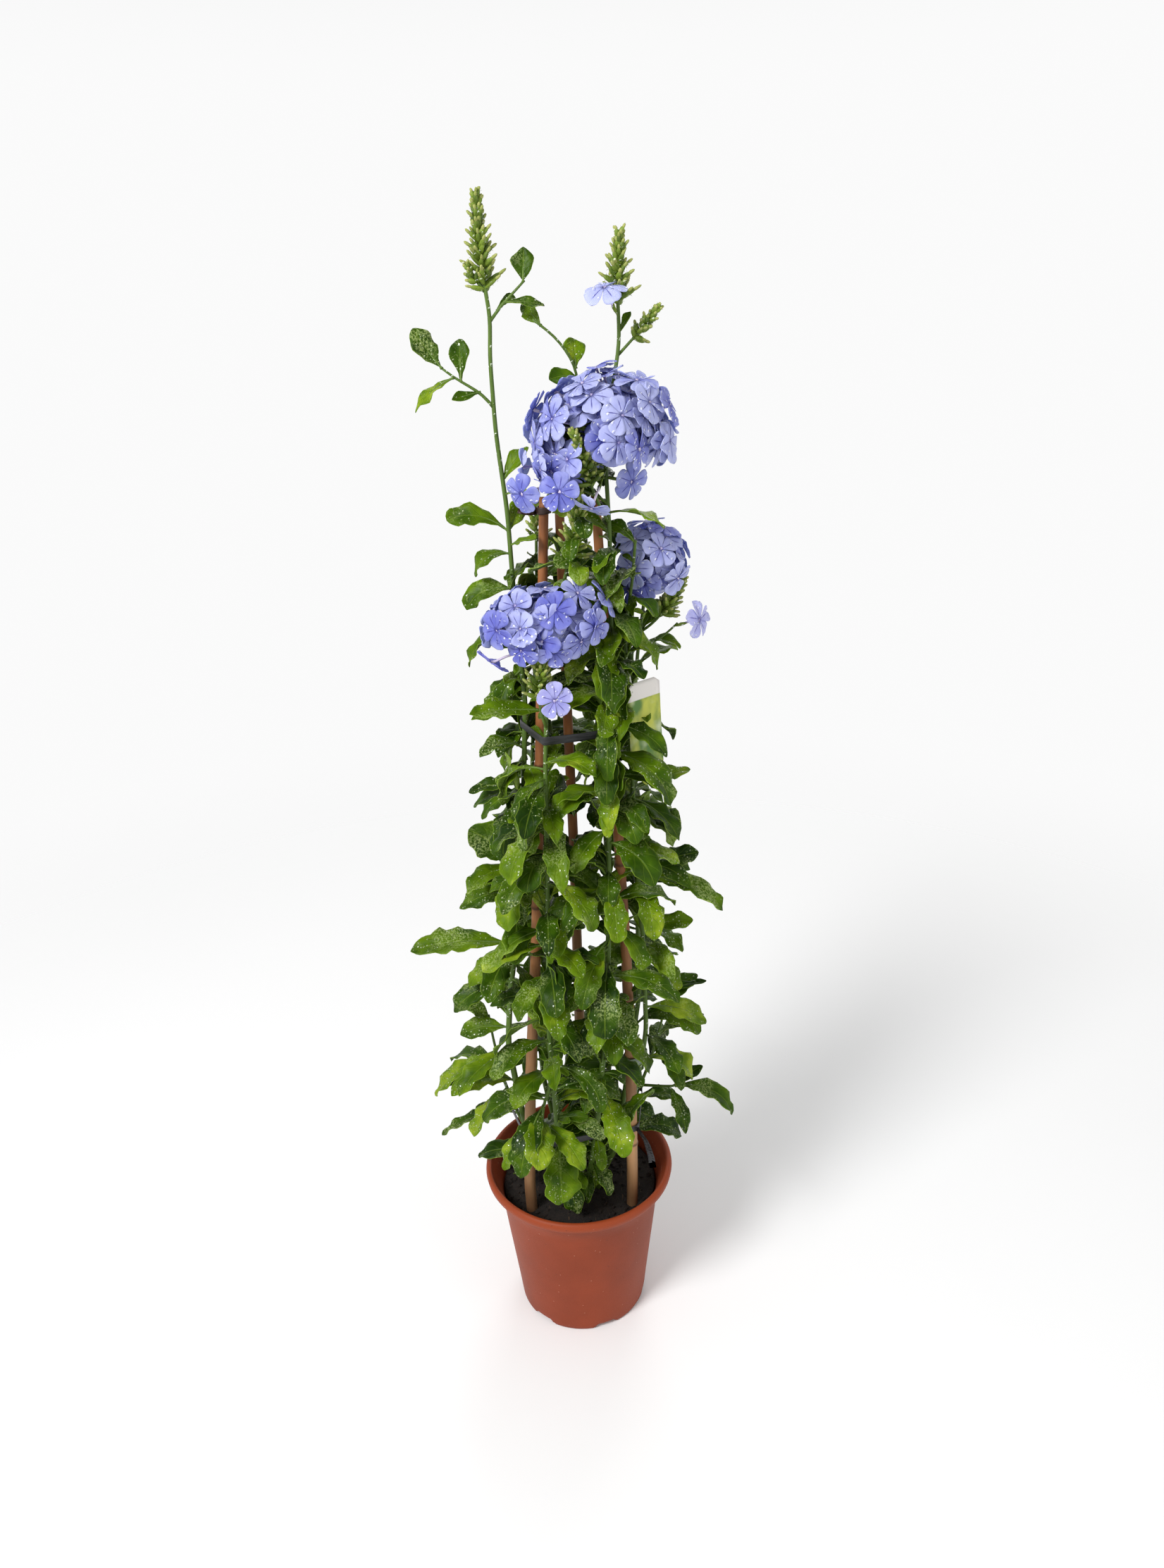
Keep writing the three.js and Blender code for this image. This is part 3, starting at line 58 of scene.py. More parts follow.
# The stems' branches: a path, its radius at both ends, leaves (root height, azimuth, lift, droop, length,
# width, roll), a rule for the leaves between them, and a spike (its length, the buds' length and number)
stems = {
    "stem_left": [
        {
            "path": [
                (-18.6, -4, 100), (-22, -6, 135), (-46, -14, 200), (-56, -19, 290), (-51, -20, 345),
                (-42, -18, 400), (-34, -15, 480), (-26, -11, 597), (-30, -8, 660), (-32, -6, 737),
                (-37, -5, 790), (-38, -5, 840), (-36, -5, 864), (-40, -5, 892), (-41, -5, 936),
            ],
            "radius": (3, 1.3),
            "spike": (54, 14, 24),
            "leaves": [
                (388, 182, 14, 34, 88, 25, -25), (381, 197, -8, 55, 50, 18, -25),
                (354, 188, 0, 60, 58, 20, -25), (308, 178, 12, 50, 44, 18, -30),
                (437, 190, 8, 45, 52, 18, -30), (459, 200, 8, 60, 42, 18, -25),
                (462, 176, 42, 15, 50, 30, -62), (500, 250, 30, 110, 52, 20, -10),
                (528, 184, 12, 40, 44, 13, -20), (512, 196, 50, -12, 54, 17, -40),
                (586, 186, 14, 40, 42, 12, -20), (620, 200, -35, 50, 36, 14, -40),
                (645, 187, 16, 105, 50, 16, -20), (680, 184, 18, 90, 42, 20, -30),
                (706, 192, 18, 110, 36, 16, -30), (722, 180, 42, 70, 48, 17, -40),
                (722, -5, 48, 20, 28, 14, 40), (712, -18, 15, 30, 24, 12, 30),
                (752, 172, 70, 20, 36, 17, -60), (757, 12, 62, 30, 30, 13, 50),
                (776, 150, 78, 20, 24, 13, -60), (748, -40, 20, 30, 20, 9, 20),
            ],
            "rule": {"from": 150, "to": 600, "every": 34, "long": (66, 46), "turn": 40, "spread": 0.45,
                     "lift": (5, 45)},
        },
        {
            "path": [(-37, -5, 806), (-44, -6, 816), (-62, -7, 826), (-72, -6, 834)],
            "radius": (1.3, 0.8),
            "leaves": [
                (833, 168, 50, -10, 32, 17, -62), (824, 90, 82, 10, 28, 14, 0),
                (827, 192, -20, 40, 36, 11, -30), (812, 90, 80, 0, 22, 9, 0), (817, 182, -5, 10, 22, 8, -40),
            ],
        },
        {
            "path": [(-36, -5, 862), (-28, -6, 872), (-18, -7, 880), (-12, -7, 886)],
            "radius": (1.2, 0.8),
            "leaves": [
                (885, 80, 78, 5, 22, 15, 0), (873, -8, 5, 25, 28, 8, 40), (868, 45, 50, 60, 20, 7, 40),
            ],
        },
        {
            "path": [(-39, -5, 880), (-45, -8, 888), (-49, -10, 896)],
            "radius": (1.2, 0.9),
            "spike": (14, 9, 4),
        },
    ],
    "stem_centre": [
        {
            "path": [
                (5.2, -18.3, 100), (7, -21, 135), (16, -36, 200), (27, -47, 320), (32, -47, 420),
                (34, -41, 513), (36, -38, 570), (39, -33, 640), (40, -26, 720), (38, -24, 775),
                (44, -14, 815), (50, -8, 846), (49, -8, 878), (51, -8, 911),
            ],
            "radius": (2.9, 1.2),
            "spike": (40, 14, 18),
            "leaves": [
                (205, -80, 0, 90, 34, 11), (170, -62, 20, 100, 40, 15), (160, -100, 10, 90, 34, 14),
                (826, 60, 62, 10, 20, 7), (852, 20, 50, 10, 18, 6), (846, 170, 50, 20, 16, 8, -40),
                (736, -30, 15, 60, 46, 17), (562, -32, 5, 88, 68, 27, 20),
            ],
            "rule": {"from": 165, "to": 700, "every": 21, "long": (68, 44), "turn": 10, "spread": 0.52,
                     "lift": (-15, 35)},
        },
        {
            "path": [(49, -8, 838), (57, -9, 846), (66, -10, 855), (76, -10, 867)],
            "radius": (1.1, 0.8),
            "spike": (26, 9, 9),
        },
        {
            "path": [(39, -27, 730), (30, -45, 750), (24, -58, 772), (17, -71, 794)],
            "radius": (1.2, 0.8),
            "spike": (42, 9, 10), "bushy": 1.5,
        },
    ],
    "stem_front": [
        {
            "path": [
                (-5.2, -18.3, 100), (-7, -21, 135), (-16, -45, 210), (-19, -55, 320), (-15, -55, 440),
                (-12, -51, 560), (-8, -48, 620), (-2, -46, 655), (6, -42, 690), (12, -41, 710),
                (16, -43, 728), (18, -46, 752),
            ],
            "radius": (2.8, 1.2),
            "spike": (46, 13, 15), "bushy": 1.3,
            "leaves": [
                (205, -88, 0, 85, 56, 32), (600, 200, 15, 20, 58, 18, -30), (706, 200, -10, 40, 30, 15),
                (704, 20, 30, 20, 26, 12, 40),
            ],
            "rule": {"from": 160, "to": 610, "every": 20, "long": (70, 50), "turn": 100, "spread": 0.52,
                     "lift": (-15, 35)},
        },
        {
            "path": [(-10, -50, 588), (-14, -60, 606), (-13, -66, 624), (-11, -70, 644)],
            "radius": (1.3, 0.8),
            "spike": (30, 11, 11), "bushy": 1.6,
        },
    ],
    "stem_right": [
        {
            "path": [
                (18.7, -3.3, 100), (22, -4, 135), (42, 2, 210), (58, 6, 320), (57, 7, 440), (55, 8, 550),
                (60, 11, 620), (66, 12, 665), (72, 12, 698), (76, 12, 722),
            ],
            "radius": (2.7, 1.2),
            "leaves": [
                (437, -15, 5, 40, 42, 13, 30), (318, 5, 14, 10, 60, 7, 20), (288, -5, 45, 130, 74, 24, 30),
                (640, 0, 60, 50, 34, 13, 30), (612, 20, 50, 80, 40, 15), (628, -20, 30, 90, 36, 13),
            ],
            "rule": {"from": 165, "to": 640, "every": 44, "long": (64, 42), "turn": 70, "spread": 0.5,
                     "lift": (15, 50)},
        },
        {
            "path": [(63, 11.5, 640), (72, 4, 648), (82, 2, 660), (93, 0, 680)],
            "radius": (1.2, 0.8),
            "spike": (30, 10, 11), "bushy": 1.4,
        },
        {
            "path": [(61, 10, 628), (74, 2, 634), (84, 0, 643), (90, 0, 649)],
            "radius": (1, 0.8),
        },
    ],
    "stem_right_front": [
        {
            "path": [
                (14.1, -12.7, 100), (17, -15, 135), (46, -20, 205), (62, -21, 300), (60, -20, 395),
                (55, -20, 480), (53, -20, 550), (50, -18, 600), (50, -20, 650), (56, -22, 690),
                (58, -24, 716),
            ],
            "radius": (2.7, 1.1),
            "leaves": [
                (524, 8, 10, 22, 60, 13, 35), (552, -35, 25, 110, 62, 26, 20),
                (500, -25, 20, 50, 40, 20, 30), (452, 10, 22, 22, 52, 17, 35),
                (446, -10, 12, 75, 78, 19, 30), (402, 0, 12, 14, 42, 15, 30), (372, -30, 0, 85, 42, 17, 30),
                (714, 170, 40, 50, 26, 11, -30), (690, -150, 30, 80, 34, 14), (672, -60, 30, 90, 38, 16),
            ],
            "rule": {"from": 165, "to": 680, "every": 27, "long": (64, 40), "turn": 130, "spread": 0.5,
                     "lift": (-10, 40)},
        },
        {
            "path": [(51, -20, 232), (61, -32, 242), (66, -44, 253), (66, -50, 262)],
            "radius": (1.5, 1),
            "leaves": [(262, -160, -22, 60, 46, 20)],
        },
    ],
    "stem_back_left": [
        {
            "path": [
                (-11.2, 15.4, 100), (-13, 17, 135), (-30, 36, 210), (-36, 41, 340), (-29, 37, 480),
                (-20, 31, 600), (-14, 25, 690), (-12, 20, 744),
            ],
            "radius": (2.7, 1.1),
            "spike": (34, 11, 8),
            "rule": {"from": 165, "to": 700, "every": 33, "long": (68, 42), "turn": 20, "spread": 0.5,
                     "lift": (10, 50)},
        },
    ],
    "stem_back_right": [
        {
            "path": [
                (10.1, 16.1, 100), (12, 18, 135), (30, 38, 210), (37, 43, 340), (32, 39, 480), (27, 33, 600),
                (24, 28, 700), (22, 22, 770), (22, 8, 812), (20, 1, 832), (8, -3, 850), (-8, -5, 862),
            ],
            "radius": (2.8, 0.9),
            "leaves": [
                (830, 95, 68, 10, 21, 16, 0), (824, 186, 15, 40, 20, 13, -60), (834, 70, 60, 10, 15, 7),
                (858, 165, 35, 15, 28, 11, -60), (861, 100, 80, 0, 16, 5),
            ],
            "rule": {"from": 165, "to": 770, "every": 36, "long": (68, 38), "turn": 80, "spread": 0.5,
                     "lift": (10, 50)},
        },
    ],
    "shoot_left": [
        {
            "path": [
                (-17.9, 6.5, 100), (-21, 8, 135), (-50, 3, 190), (-64, 0, 240), (-70, -3, 285),
                (-72, -6, 312),
            ],
            "radius": (2.4, 1),
            "leaves": [
                (272, 190, -14, 46, 70, 20, -20), (206, 185, 2, 46, 74, 13, -20),
                (230, 208, -25, 50, 54, 15, -20), (238, 176, 14, 40, 58, 14, -20),
                (300, 172, 40, 20, 36, 15, -30), (250, 150, 30, 90, 62, 21),
            ],
            "rule": {"from": 160, "to": 312, "every": 42, "long": (54, 40), "turn": 0, "spread": 0.45,
                     "lift": (5, 45)},
        },
    ],
    "shoot_front": [
        {
            "path": [
                (-14.1, -12.7, 100), (-17, -16, 135), (-25, -38, 180), (-30, -57, 225), (-27, -63, 258),
                (-13, -66, 304),
            ],
            "radius": (2.4, 1.1),
            "leaves": [
                (260, -112, 0, 78, 66, 26), (302, -35, 15, 120, 62, 16, 20), (238, -150, -10, 70, 52, 17),
                (240, -48, 10, 70, 58, 19, 20), (266, 172, 25, 30, 34, 11, -30),
            ],
            "rule": {"from": 160, "to": 262, "every": 34, "long": (46, 40), "turn": 60, "spread": 0.4,
                     "lift": (5, 45)},
        },
    ],
    "shoot_right": [
        {
            "path": [
                (17.6, 7.1, 100), (21, 9, 135), (48, 14, 190), (66, 14, 240), (77, 11, 285), (80, 8, 306),
            ],
            "radius": (2.4, 1),
            "leaves": [
                (276, 12, 28, 30, 44, 14, 30), (262, -50, -8, 82, 50, 17, 20), (300, 30, 60, 60, 46, 15, 30),
                (270, 40, 30, 90, 58, 19),
            ],
            "rule": {"from": 160, "to": 306, "every": 42, "long": (58, 40), "turn": 30, "spread": 0.45,
                     "lift": (5, 45)},
        },
        {
            "path": [(58, 14, 218), (69, 10, 220), (80, 4, 223), (90, -3, 229)],
            "radius": (1.5, 1),
            "leaves": [
                (228, -10, 15, 100, 66, 19, 25), (227, 18, 35, 20, 32, 11, 30), (225, -66, -15, 70, 46, 15),
            ],
        },
    ],
}

# Flower heads on a stretch of a stem: centre and half sizes, the places that the first and the later florets
# try, how far out the later ones lie, the lowest place, the spiral's turn, and florets set one by one
# Painted light and shade on the heads: a head's pale value makes the top head paler and the front head below
# it darker, and the florets low on a head get darker petals
heads = {
    "flower_head_top": {
        "stem": "stem_centre", "between": (755, 806), "centre": (33, -32, 788), "half": (50, 42, 44),
        "florets": 120, "more": 340, "shell": 1.03, "lowest": -0.72, "turn": 20, "pale": 0.06,
        "slant": 10, "openBelow": -0.2, "shadedBelow": 60,
        "loose": [((27, -66, 746), (-0.35, -0.5, -0.8)), ((-20, -42, 753), (-0.5, -0.7, -0.2))],
        "below": [
            ((6, -72, 758), (-0.1, -0.85, 0.1)), ((-7, -62, 770), (-0.35, -0.85, 0.2)),
            ((4, -74, 776), (0, -0.9, 0.3)), ((-15, -46, 777), (-0.6, -0.7, 0.3)),
            ((56, -30, 757), (0.5, -0.7, -0.3)),
        ],
    },
    "flower_head_front": {
        "stem": "stem_front", "between": (640, 684), "centre": (-4, -56, 668), "half": (43, 32, 26),
        "florets": 90, "more": 250, "shell": 1.08, "lowest": -0.6, "turn": 75, "pale": -0.1,
        "slant": 6, "openBelow": -1, "shadedBelow": 22,
        "loose": [((-46, -58, 640), (-0.6, -0.2, -0.7))],
    },
    "flower_head_right": {
        "stem": "stem_right", "between": (668, 716), "centre": (70, 6, 694), "half": (29, 29, 32),
        "florets": 70, "more": 90, "shell": 1.1, "lowest": -0.7, "turn": 140,
        "slant": 0, "openBelow": -1, "shadedBelow": 14,
        "loose": [],
    },
}
singleFlowers = {
    "flower_low": {"face": (-2, -80, 618), "towards": (0.1, -0.95, 0.25), "root": (-13.4, -61.5, 611),
                   "bend": 0.2, "scale": 0.88},
    "flower_side": {"face": (106, -4, 652), "towards": (0.75, -0.6, 0.1), "root": (88, 0, 647),
                    "bend": 0.8, "scale": 1.0},
    "flower_high": {"face": (40, -26, 880), "towards": (-0.15, -0.5, 0.85), "root": (49.3, -8, 862),
                    "bend": 1.3, "scale": 1.0},
}

# Each cane's path, and the heights of its nodes
canes = {
    "cane_left": {
        "path": [
            (-42, -39, 95), (-43.5, -39, 158), (-38, -33, 261), (-27, -24, 394), (-17, -15, 550),
            (-5.5, -5, 745),
        ],
        "nodes": [182, 300, 425, 545, 662],
    },
    "cane_right": {
        "path": [
            (46, -36, 95), (47.5, -35, 163), (48, -30, 268), (46, -24, 380), (38, -13, 580), (31, -4, 745),
        ],
        "nodes": [194, 330, 460, 592, 700],
    },
    "cane_back": {
        "path": [(4, 54, 85), (5, 49, 160), (5, 41, 276), (6, 31, 440), (5, 19, 580), (5, 5, 745)],
        "nodes": [170, 285, 405, 530, 650],
    },
}
caneRadii = (5.3, 3.7)

bands = {
    "tie_low": {"height": 212, "tall": 6, "round": None,
                "tail": [(59, -46, 206), (63, -48, 192), (65, -48, 178)]},
    "tie_high": {"height": 578, "tall": 6, "round": None},
    "tie_middle": {"height": 278, "tall": 9, "round": ("cane_right", "stem_right_front")},
    "tie_top": {"height": 736, "tall": 5, "round": ("cane_left",),
                "tail": [(-16, -9, 736), (-21, -10, 737), (-24, -10, 738)]},
}
bandThickness, bandGap, bandCorners = 0.9, 0.4, 8
tag = {"corner": (50, -34, 612), "wide": 31, "tall": 84, "thick": 0.5, "lean": 3, "turn": 36,
       "stem": "stem_right_front", "ringHeight": 620, "ring": 1.4, "strapTo": (5, 7)}
pot = {"rim": 85, "height": 150}

# How far apart things keep, as the radius of a ball round each point that is tested
balls = {"blade": 2.9, "petiole": 1.7, "petal": 2.6, "ownPetal": 1.2, "tube": 1.2, "band": 3.4, "rim": 4,
         "bract": 2.6, "plate": 3, "stem": 0.5, "cane": 0.6}
petalLength = 13.8
bareHeight = 252  # below it the rule adds no leaf at the front, where the canes' feet show
cellSize = 9
leafHabits = {"fold": (6, 15), "twist": (-25, 25), "wave": (0.4, 1), "waves": (1.6, 2.6), "phase": (0, 6)}


def mix(a, b, share):
    return a + (b - a) * share


def clamp01(value):
    return min(1.0, max(0.0, value))


def lerp(a, b, share):
    return tuple(p + (q - p) * share for p, q in zip(a, b))


def step(point, way, distance):
    return tuple(p + w * distance for p, w in zip(point, way))


def minus(a, b):
    return tuple(p - q for p, q in zip(a, b))


def dot(a, b):
    return sum(p * q for p, q in zip(a, b))


def cross(a, b):
    return (a[1] * b[2] - a[2] * b[1], a[2] * b[0] - a[0] * b[2], a[0] * b[1] - a[1] * b[0])


def unit(a):
    size = math.sqrt(dot(a, a)) or 1.0
    return tuple(p / size for p in a)


def squareTo(way, tangent):  # the part of a direction that is square to a line
    return unit(step(way, tangent, -dot(way, tangent)))


class Dice:  # random numbers that are the same in every run
    def __init__(self, seed):
        self.seed = seed

    def roll(self):
        self.seed = (self.seed * 1664525 + 1013904223) & 0xFFFFFFFF
        return self.seed / 4294967296

    def between(self, low, high):
        return low + (high - low) * self.roll()


dice = Dice(20260)


def lineLength(line):
    return sum(math.dist(a, b) for a, b in zip(line, line[1:]))


def pointAlong(line, distance):  # the point and the direction of the line there
    left = distance
    for i in range(1, len(line)):
        run = math.dist(line[i], line[i - 1])
        if left <= run or i == len(line) - 1:
            return lerp(line[i - 1], line[i], min(1.0, left / run)), unit(minus(line[i], line[i - 1]))
        left -= run


def distanceAtHeight(line, height):
    total = 0.0
    for a, b in zip(line, line[1:]):
        run = math.dist(a, b)
        if b[2] >= height:
            return total + run * clamp01((height - a[2]) / (b[2] - a[2]))
        total += run
    return total


def pointAtHeight(line, height):
    return pointAlong(line, distanceAtHeight(line, height))[0]


# Points that later things keep clear of, in a grid of cells
cells = {}


def cellOf(p):
    return tuple(math.floor(value / cellSize) for value in p)


def occupy(points, ball, owner):
    for p in points:
        cells.setdefault(cellOf(p), []).append((p, ball, owner))


def isNear(p, ball, stalk, owner, closeness=1.0):
    i, j, k = cellOf(p)
    for a in (i - 1, i, i + 1):
        for b in (j - 1, j, j + 1):
            for c in (k - 1, k, k + 1):
                for q, otherBall, otherOwner in cells.get((a, b, c), ()):
                    share = 1 if otherOwner != owner else 0 if stalk else 0.72
                    reach = (ball + otherBall) * share * closeness
                    if (p[0] - q[0]) ** 2 + (p[1] - q[1]) ** 2 + (p[2] - q[2]) ** 2 < reach * reach:
                        return True
    return False


def isClear(samples, owner, closeness=1.0):
    for p, ball, stalk in samples:
        inPot = not stalk and math.hypot(p[0], p[1]) < pot["rim"] + 4 and p[2] < 133
        if inPot or p[2] <= 3 or isNear(p, ball, stalk, owner, closeness):
            return False
    return True


# A leaf's midrib leaves the stem at the lift angle and bends down by the droop angle
midribSteps = 10


def leafFrame(leaf):
    turn = math.radians(leaf["azimuth"])
    flatX, flatY = math.cos(turn), math.sin(turn)
    midrib, ups = [leaf["root"]], []
    for i in range(midribSteps + 1):
        pitch = math.radians(leaf["lift"] - leaf["droop"] * (i / midribSteps) ** 1.3)
        ups.append((-math.sin(pitch) * flatX, -math.sin(pitch) * flatY, math.cos(pitch)))
        if i < midribSteps:
            pitch = math.radians(leaf["lift"] - leaf["droop"] * ((i + 0.5) / midribSteps) ** 1.3)
            way = (math.cos(pitch) * flatX, math.cos(pitch) * flatY, math.sin(pitch))
            midrib.append(step(midrib[i], way, leaf["length"] / midribSteps))
    return {"across": (-flatY, flatX, 0.0), "midrib": midrib, "ups": ups}


def halfWidth(leaf, share):
    blade = clamp01((share - 0.12) / 0.88)
    outline = max(0.0, math.sin(math.pi * blade ** 1.8)) ** 0.68
    return max(0.8 * (1 - 0.2 * share), leaf["width"] / 2 * outline)


# A cut across the blade: its middle and folded, wavy edges, and the directions across and out of it
def leafSection(leaf, form, share, tip=False):
    place = share * midribSteps
    i = min(midribSteps - 1, math.floor(place))
    middle = lerp(form["midrib"][i], form["midrib"][i + 1], place - i)
    up = unit(lerp(form["ups"][i], form["ups"][i + 1], place - i))
    roll = math.radians(leaf["roll"] + leaf["twist"] * share)
    side = tuple(a * math.cos(roll) + u * math.sin(roll) for a, u in zip(form["across"], up))
    normal = tuple(u * math.cos(roll) - a * math.sin(roll) for a, u in zip(form["across"], up))
    half = 0.21 * leaf["width"] if tip else halfWidth(leaf, share)
    fold = math.radians(leaf["fold"])
    edges = []
    for hand in (1, -1):
        swing = math.sin(2 * math.pi * leaf["waves"] * share + leaf["phase"] * hand)
        rise = half * math.sin(fold) + leaf["wave"] * swing * clamp01(4 * share - 0.8)
        edges.append(step(step(middle, side, hand * half * math.cos(fold)), normal, rise))
    return {"left": edges[0], "middle": middle, "right": edges[1], "side": side, "normal": normal,
            "half": half}


def leafSamples(leaf, ball, between=5.5):
    form = leafFrame(leaf)
    samples = [(leafSection(leaf, form, share)["middle"], balls["petiole"], True)
               for share in (0.06, 0.12, 0.18, 0.24)]
    rows = math.ceil(leaf["length"] * 0.7 / between)
    columns = 2 * math.ceil(leaf["width"] / 2 / between)
    for i in range(rows + 1):
        cut = leafSection(leaf, form, mix(0.3, 1, i / rows), i == rows)
        for k in range(columns + 1):
            across = 2 * k / columns - 1
            edge = cut["left"] if across < 0 else cut["right"]
            samples.append((lerp(cut["middle"], edge, abs(across)), ball, False))
    return samples


leafLists = {name: [] for name in stems}


# Turns a leaf until it is clear of what is there, and leaves it out if it fits nowhere
def addLeaf(name, ball=balls["blade"], tries=9, closeness=1.0, fits=None, **start):
    leaf = {**start, **{key: dice.between(*span) for key, span in leafHabits.items()}}
    for attempt in range(tries):
        side = 1 if attempt % 2 else -1
        leaf["azimuth"] = start["azimuth"] + side * math.ceil(attempt / 2) * 14
        leaf["lift"] = start["lift"] + (attempt % 3) * 7
        samples = leafSamples(leaf, ball)
        if (not fits or fits(samples)) and isClear(samples, name, closeness):
            for p, size, _ in samples:
                occupy([p], size, name)
            leafLists[name].append(leaf)
            return


# The tightest loop round the canes and stems that a band holds
def bandLoop(band):
    points = []
    for name in [*canes, *stems]:
        line = canes[name]["path"] if name in canes else stems[name][0]["path"]
        if line[-1][2] <= band["height"] + 8 or (band["round"] and name not in band["round"]):
            continue
        radii = caneRadii if name in canes else stems[name][0]["radius"]
        for height in (band["height"] - band["tall"] / 2, band["height"], band["height"] + band["tall"] / 2):
            centre = pointAtHeight(line, height)
            reach = mix(radii[0], radii[1], distanceAtHeight(line, height) / lineLength(line))
            out = (reach + bandGap + bandThickness / 2) / math.cos(math.pi / bandCorners)
            for k in range(bandCorners):
                angle = k * 2 * math.pi / bandCorners
                points.append((centre[0] + out * math.cos(angle), centre[1] + out * math.sin(angle)))
    return convexLoop(points)


def convexLoop(points):
    def half(ordered):
        chain = []
        for p in ordered:
            while len(chain) > 1 and ((chain[-1][0] - chain[-2][0]) * (p[1] - chain[-2][1])
                                      - (chain[-1][1] - chain[-2][1]) * (p[0] - chain[-2][0])) <= 1e-9:
                chain.pop()
            chain.append(p)
        return chain[:-1]
    ordered = sorted(points)
    return half(ordered) + half(ordered[::-1])


# Canes, stems, the pot's rim, ties, tag and buds are there first
for name, cane in canes.items():
    distance = 0
    while distance <= lineLength(cane["path"]):
        occupy([pointAlong(cane["path"], distance)[0]], caneRadii[0] + balls["cane"], name)
        distance += 5
for name, branches in stems.items():
    for branch in branches:
        length, distance = lineLength(branch["path"]), 0
        while distance < length:
            radius = mix(*branch["radius"], distance / length)
            occupy([pointAlong(branch["path"], distance)[0]], radius + balls["stem"], name)
            distance += 4
for angle in range(0, 360, 5):
    for inward, down in ((3, 3), (9, 11)):
        reach, turn = pot["rim"] - inward, math.radians(angle)
        occupy([(reach * math.cos(turn), reach * math.sin(turn), pot["height"] - down)], balls["rim"], "pot")
for name, band in bands.items():
    loop = bandLoop(band)
    for p, after in zip(loop, loop[1:] + loop[:1]):
        steps = max(1, math.ceil(math.dist(p, after) / 5))
        occupy([(*lerp(p, after, k / steps), band["height"]) for k in range(steps)], balls["band"], name)
    occupy(band.get("tail", []), balls["band"], name)

lean, turned = math.radians(tag["lean"]), math.radians(tag["turn"])
tagAlong = (math.cos(turned) * math.cos(lean), math.sin(turned) * math.cos(lean), math.sin(lean))
tagDown = (math.cos(turned) * math.sin(lean), math.sin(turned) * math.sin(lean), -math.cos(lean))
for a in range(6):
    for b in range(14):
        point = step(step(tag["corner"], tagAlong, tag["wide"] * a / 5), tagDown, tag["tall"] * b / 13)
        occupy([point], balls["plate"], "tag")
ringCentre, ringTangent = pointAlong(stems[tag["stem"]][0]["path"],
                                     distanceAtHeight(stems[tag["stem"]][0]["path"], tag["ringHeight"]))
occupy([lerp(ringCentre, tag["corner"], share) for share in (0, 0.33, 0.66, 1)], balls["rim"], "tag")


def spiralOut(tangent, degrees):  # a direction square to the tangent, turned about it
    turn = math.radians(degrees)
    side = squareTo((1, 0, 0), tangent)
    return step(tuple(c * math.cos(turn) for c in side), cross(tangent, side), math.sin(turn))


# Slim buds spiral up the end of a branch
def spikeBracts(branch):
    line, whole = branch["path"], lineLength(branch["path"])
    length, reach, count = branch["spike"]
    bracts = []
    for i in range(count):
        share = (i + 0.5) / count
        point, tangent = pointAlong(line, whole - length * (1 - share))
        way = unit(step(spiralOut(tangent, i * golden), tangent, mix(0.5, 1.6, share ** 2)))
        bracts.append({"root": point, "way": way, "length": reach * mix(1.15, 0.62, share), "share": share})
    return bracts


bractLists = {}
for name, branches in stems.items():
    bractLists[name] = [bract for branch in branches if "spike" in branch for bract in spikeBracts(branch)]
    for bract in bractLists[name]:
        occupy([step(bract["root"], bract["way"], bract["length"] * share) for share in (0.25, 0.6, 1)],
               balls["bract"], name)


def floretFrame(floret):  # the direction that it faces, and two square to it
    normal = unit(floret["towards"])
    side = unit(cross((1, 0, 0) if abs(normal[2]) > 0.9 else (0, 0, 1), normal))
    return normal, side, cross(normal, side)


def floretSamples(floret):
    _, side, up = floretFrame(floret)
    points = [floret["face"]]
    for petal in range(5):
        for turn, reach in ((0, 0.5), (0, 1), (-24, 0.8), (24, 0.8)):
            angle = math.radians(petal * 72 + turn + floret["spin"])
            radius = petalLength * reach * floret["size"]
            beside = step(floret["face"], side, radius * math.cos(angle))
            points.append(step(beside, up, radius * math.sin(angle)))
    return points


floretLists = {name: [] for name in [*heads, *singleFlowers]}


# Adds a floret where its petals and tube are clear of what is there
def addFloret(name, face, towards, rootShare, ownBall=balls["ownPetal"], keptBall=balls["petal"]):
    head = heads[name]
    root = pointAtHeight(stems[head["stem"]][0]["path"], mix(*head["between"], rootShare))
    floret = {"face": face, "towards": towards, "root": root, "spin": dice.between(0, 72),
              "size": dice.between(0.92, 1.1), "bend": dice.between(0.1, 0.9)}
    samples = floretSamples(floret)
    tube = [lerp(root, samples[0], share) for share in (0.4, 0.5, 0.6, 0.7, 0.8)]
    if not isClear([(p, ownBall, False) for p in samples], name):
        return
    if not isClear([(p, balls["tube"], False) for p in tube], name):
        return
    floretLists[name].append(floret)
    occupy(samples, keptBall, name)
    occupy(tube, balls["tube"], name)


# Florets on a spiral from the head's crown down, each turned a little at random
def spiralOfFlorets(name, count, turn, depths, ownBall=balls["ownPetal"], keptBall=balls["petal"], loose=1.0):
    head = heads[name]
    lowest = head["lowest"]
    for i in range(count):
        rise = 1 - (1 - lowest) * (i + 0.5) / count
        flat, angle = math.sqrt(1 - rise * rise), math.radians(turn + i * golden)
        way = (flat * math.cos(angle), flat * math.sin(angle), rise)
        depth = dice.between(*depths)
        face = tuple(c + w * h * depth for c, w, h in zip(head["centre"], way, head["half"]))
        face = step(face, (1, 0, 0), head["slant"] * rise)
        jitter = (dice.between(-0.25, 0.25), dice.between(-0.25, 0.25), dice.between(-0.1, 0.35))
        towards = (way[0] + jitter[0] * loose, way[1] + jitter[1] * loose, way[2] * 0.9 + jitter[2] * loose)
        if rise >= head["openBelow"] or way[0] <= 0.15:
            addFloret(name, face, towards, clamp01(0.5 + rise * 0.5), ownBall, keptBall)


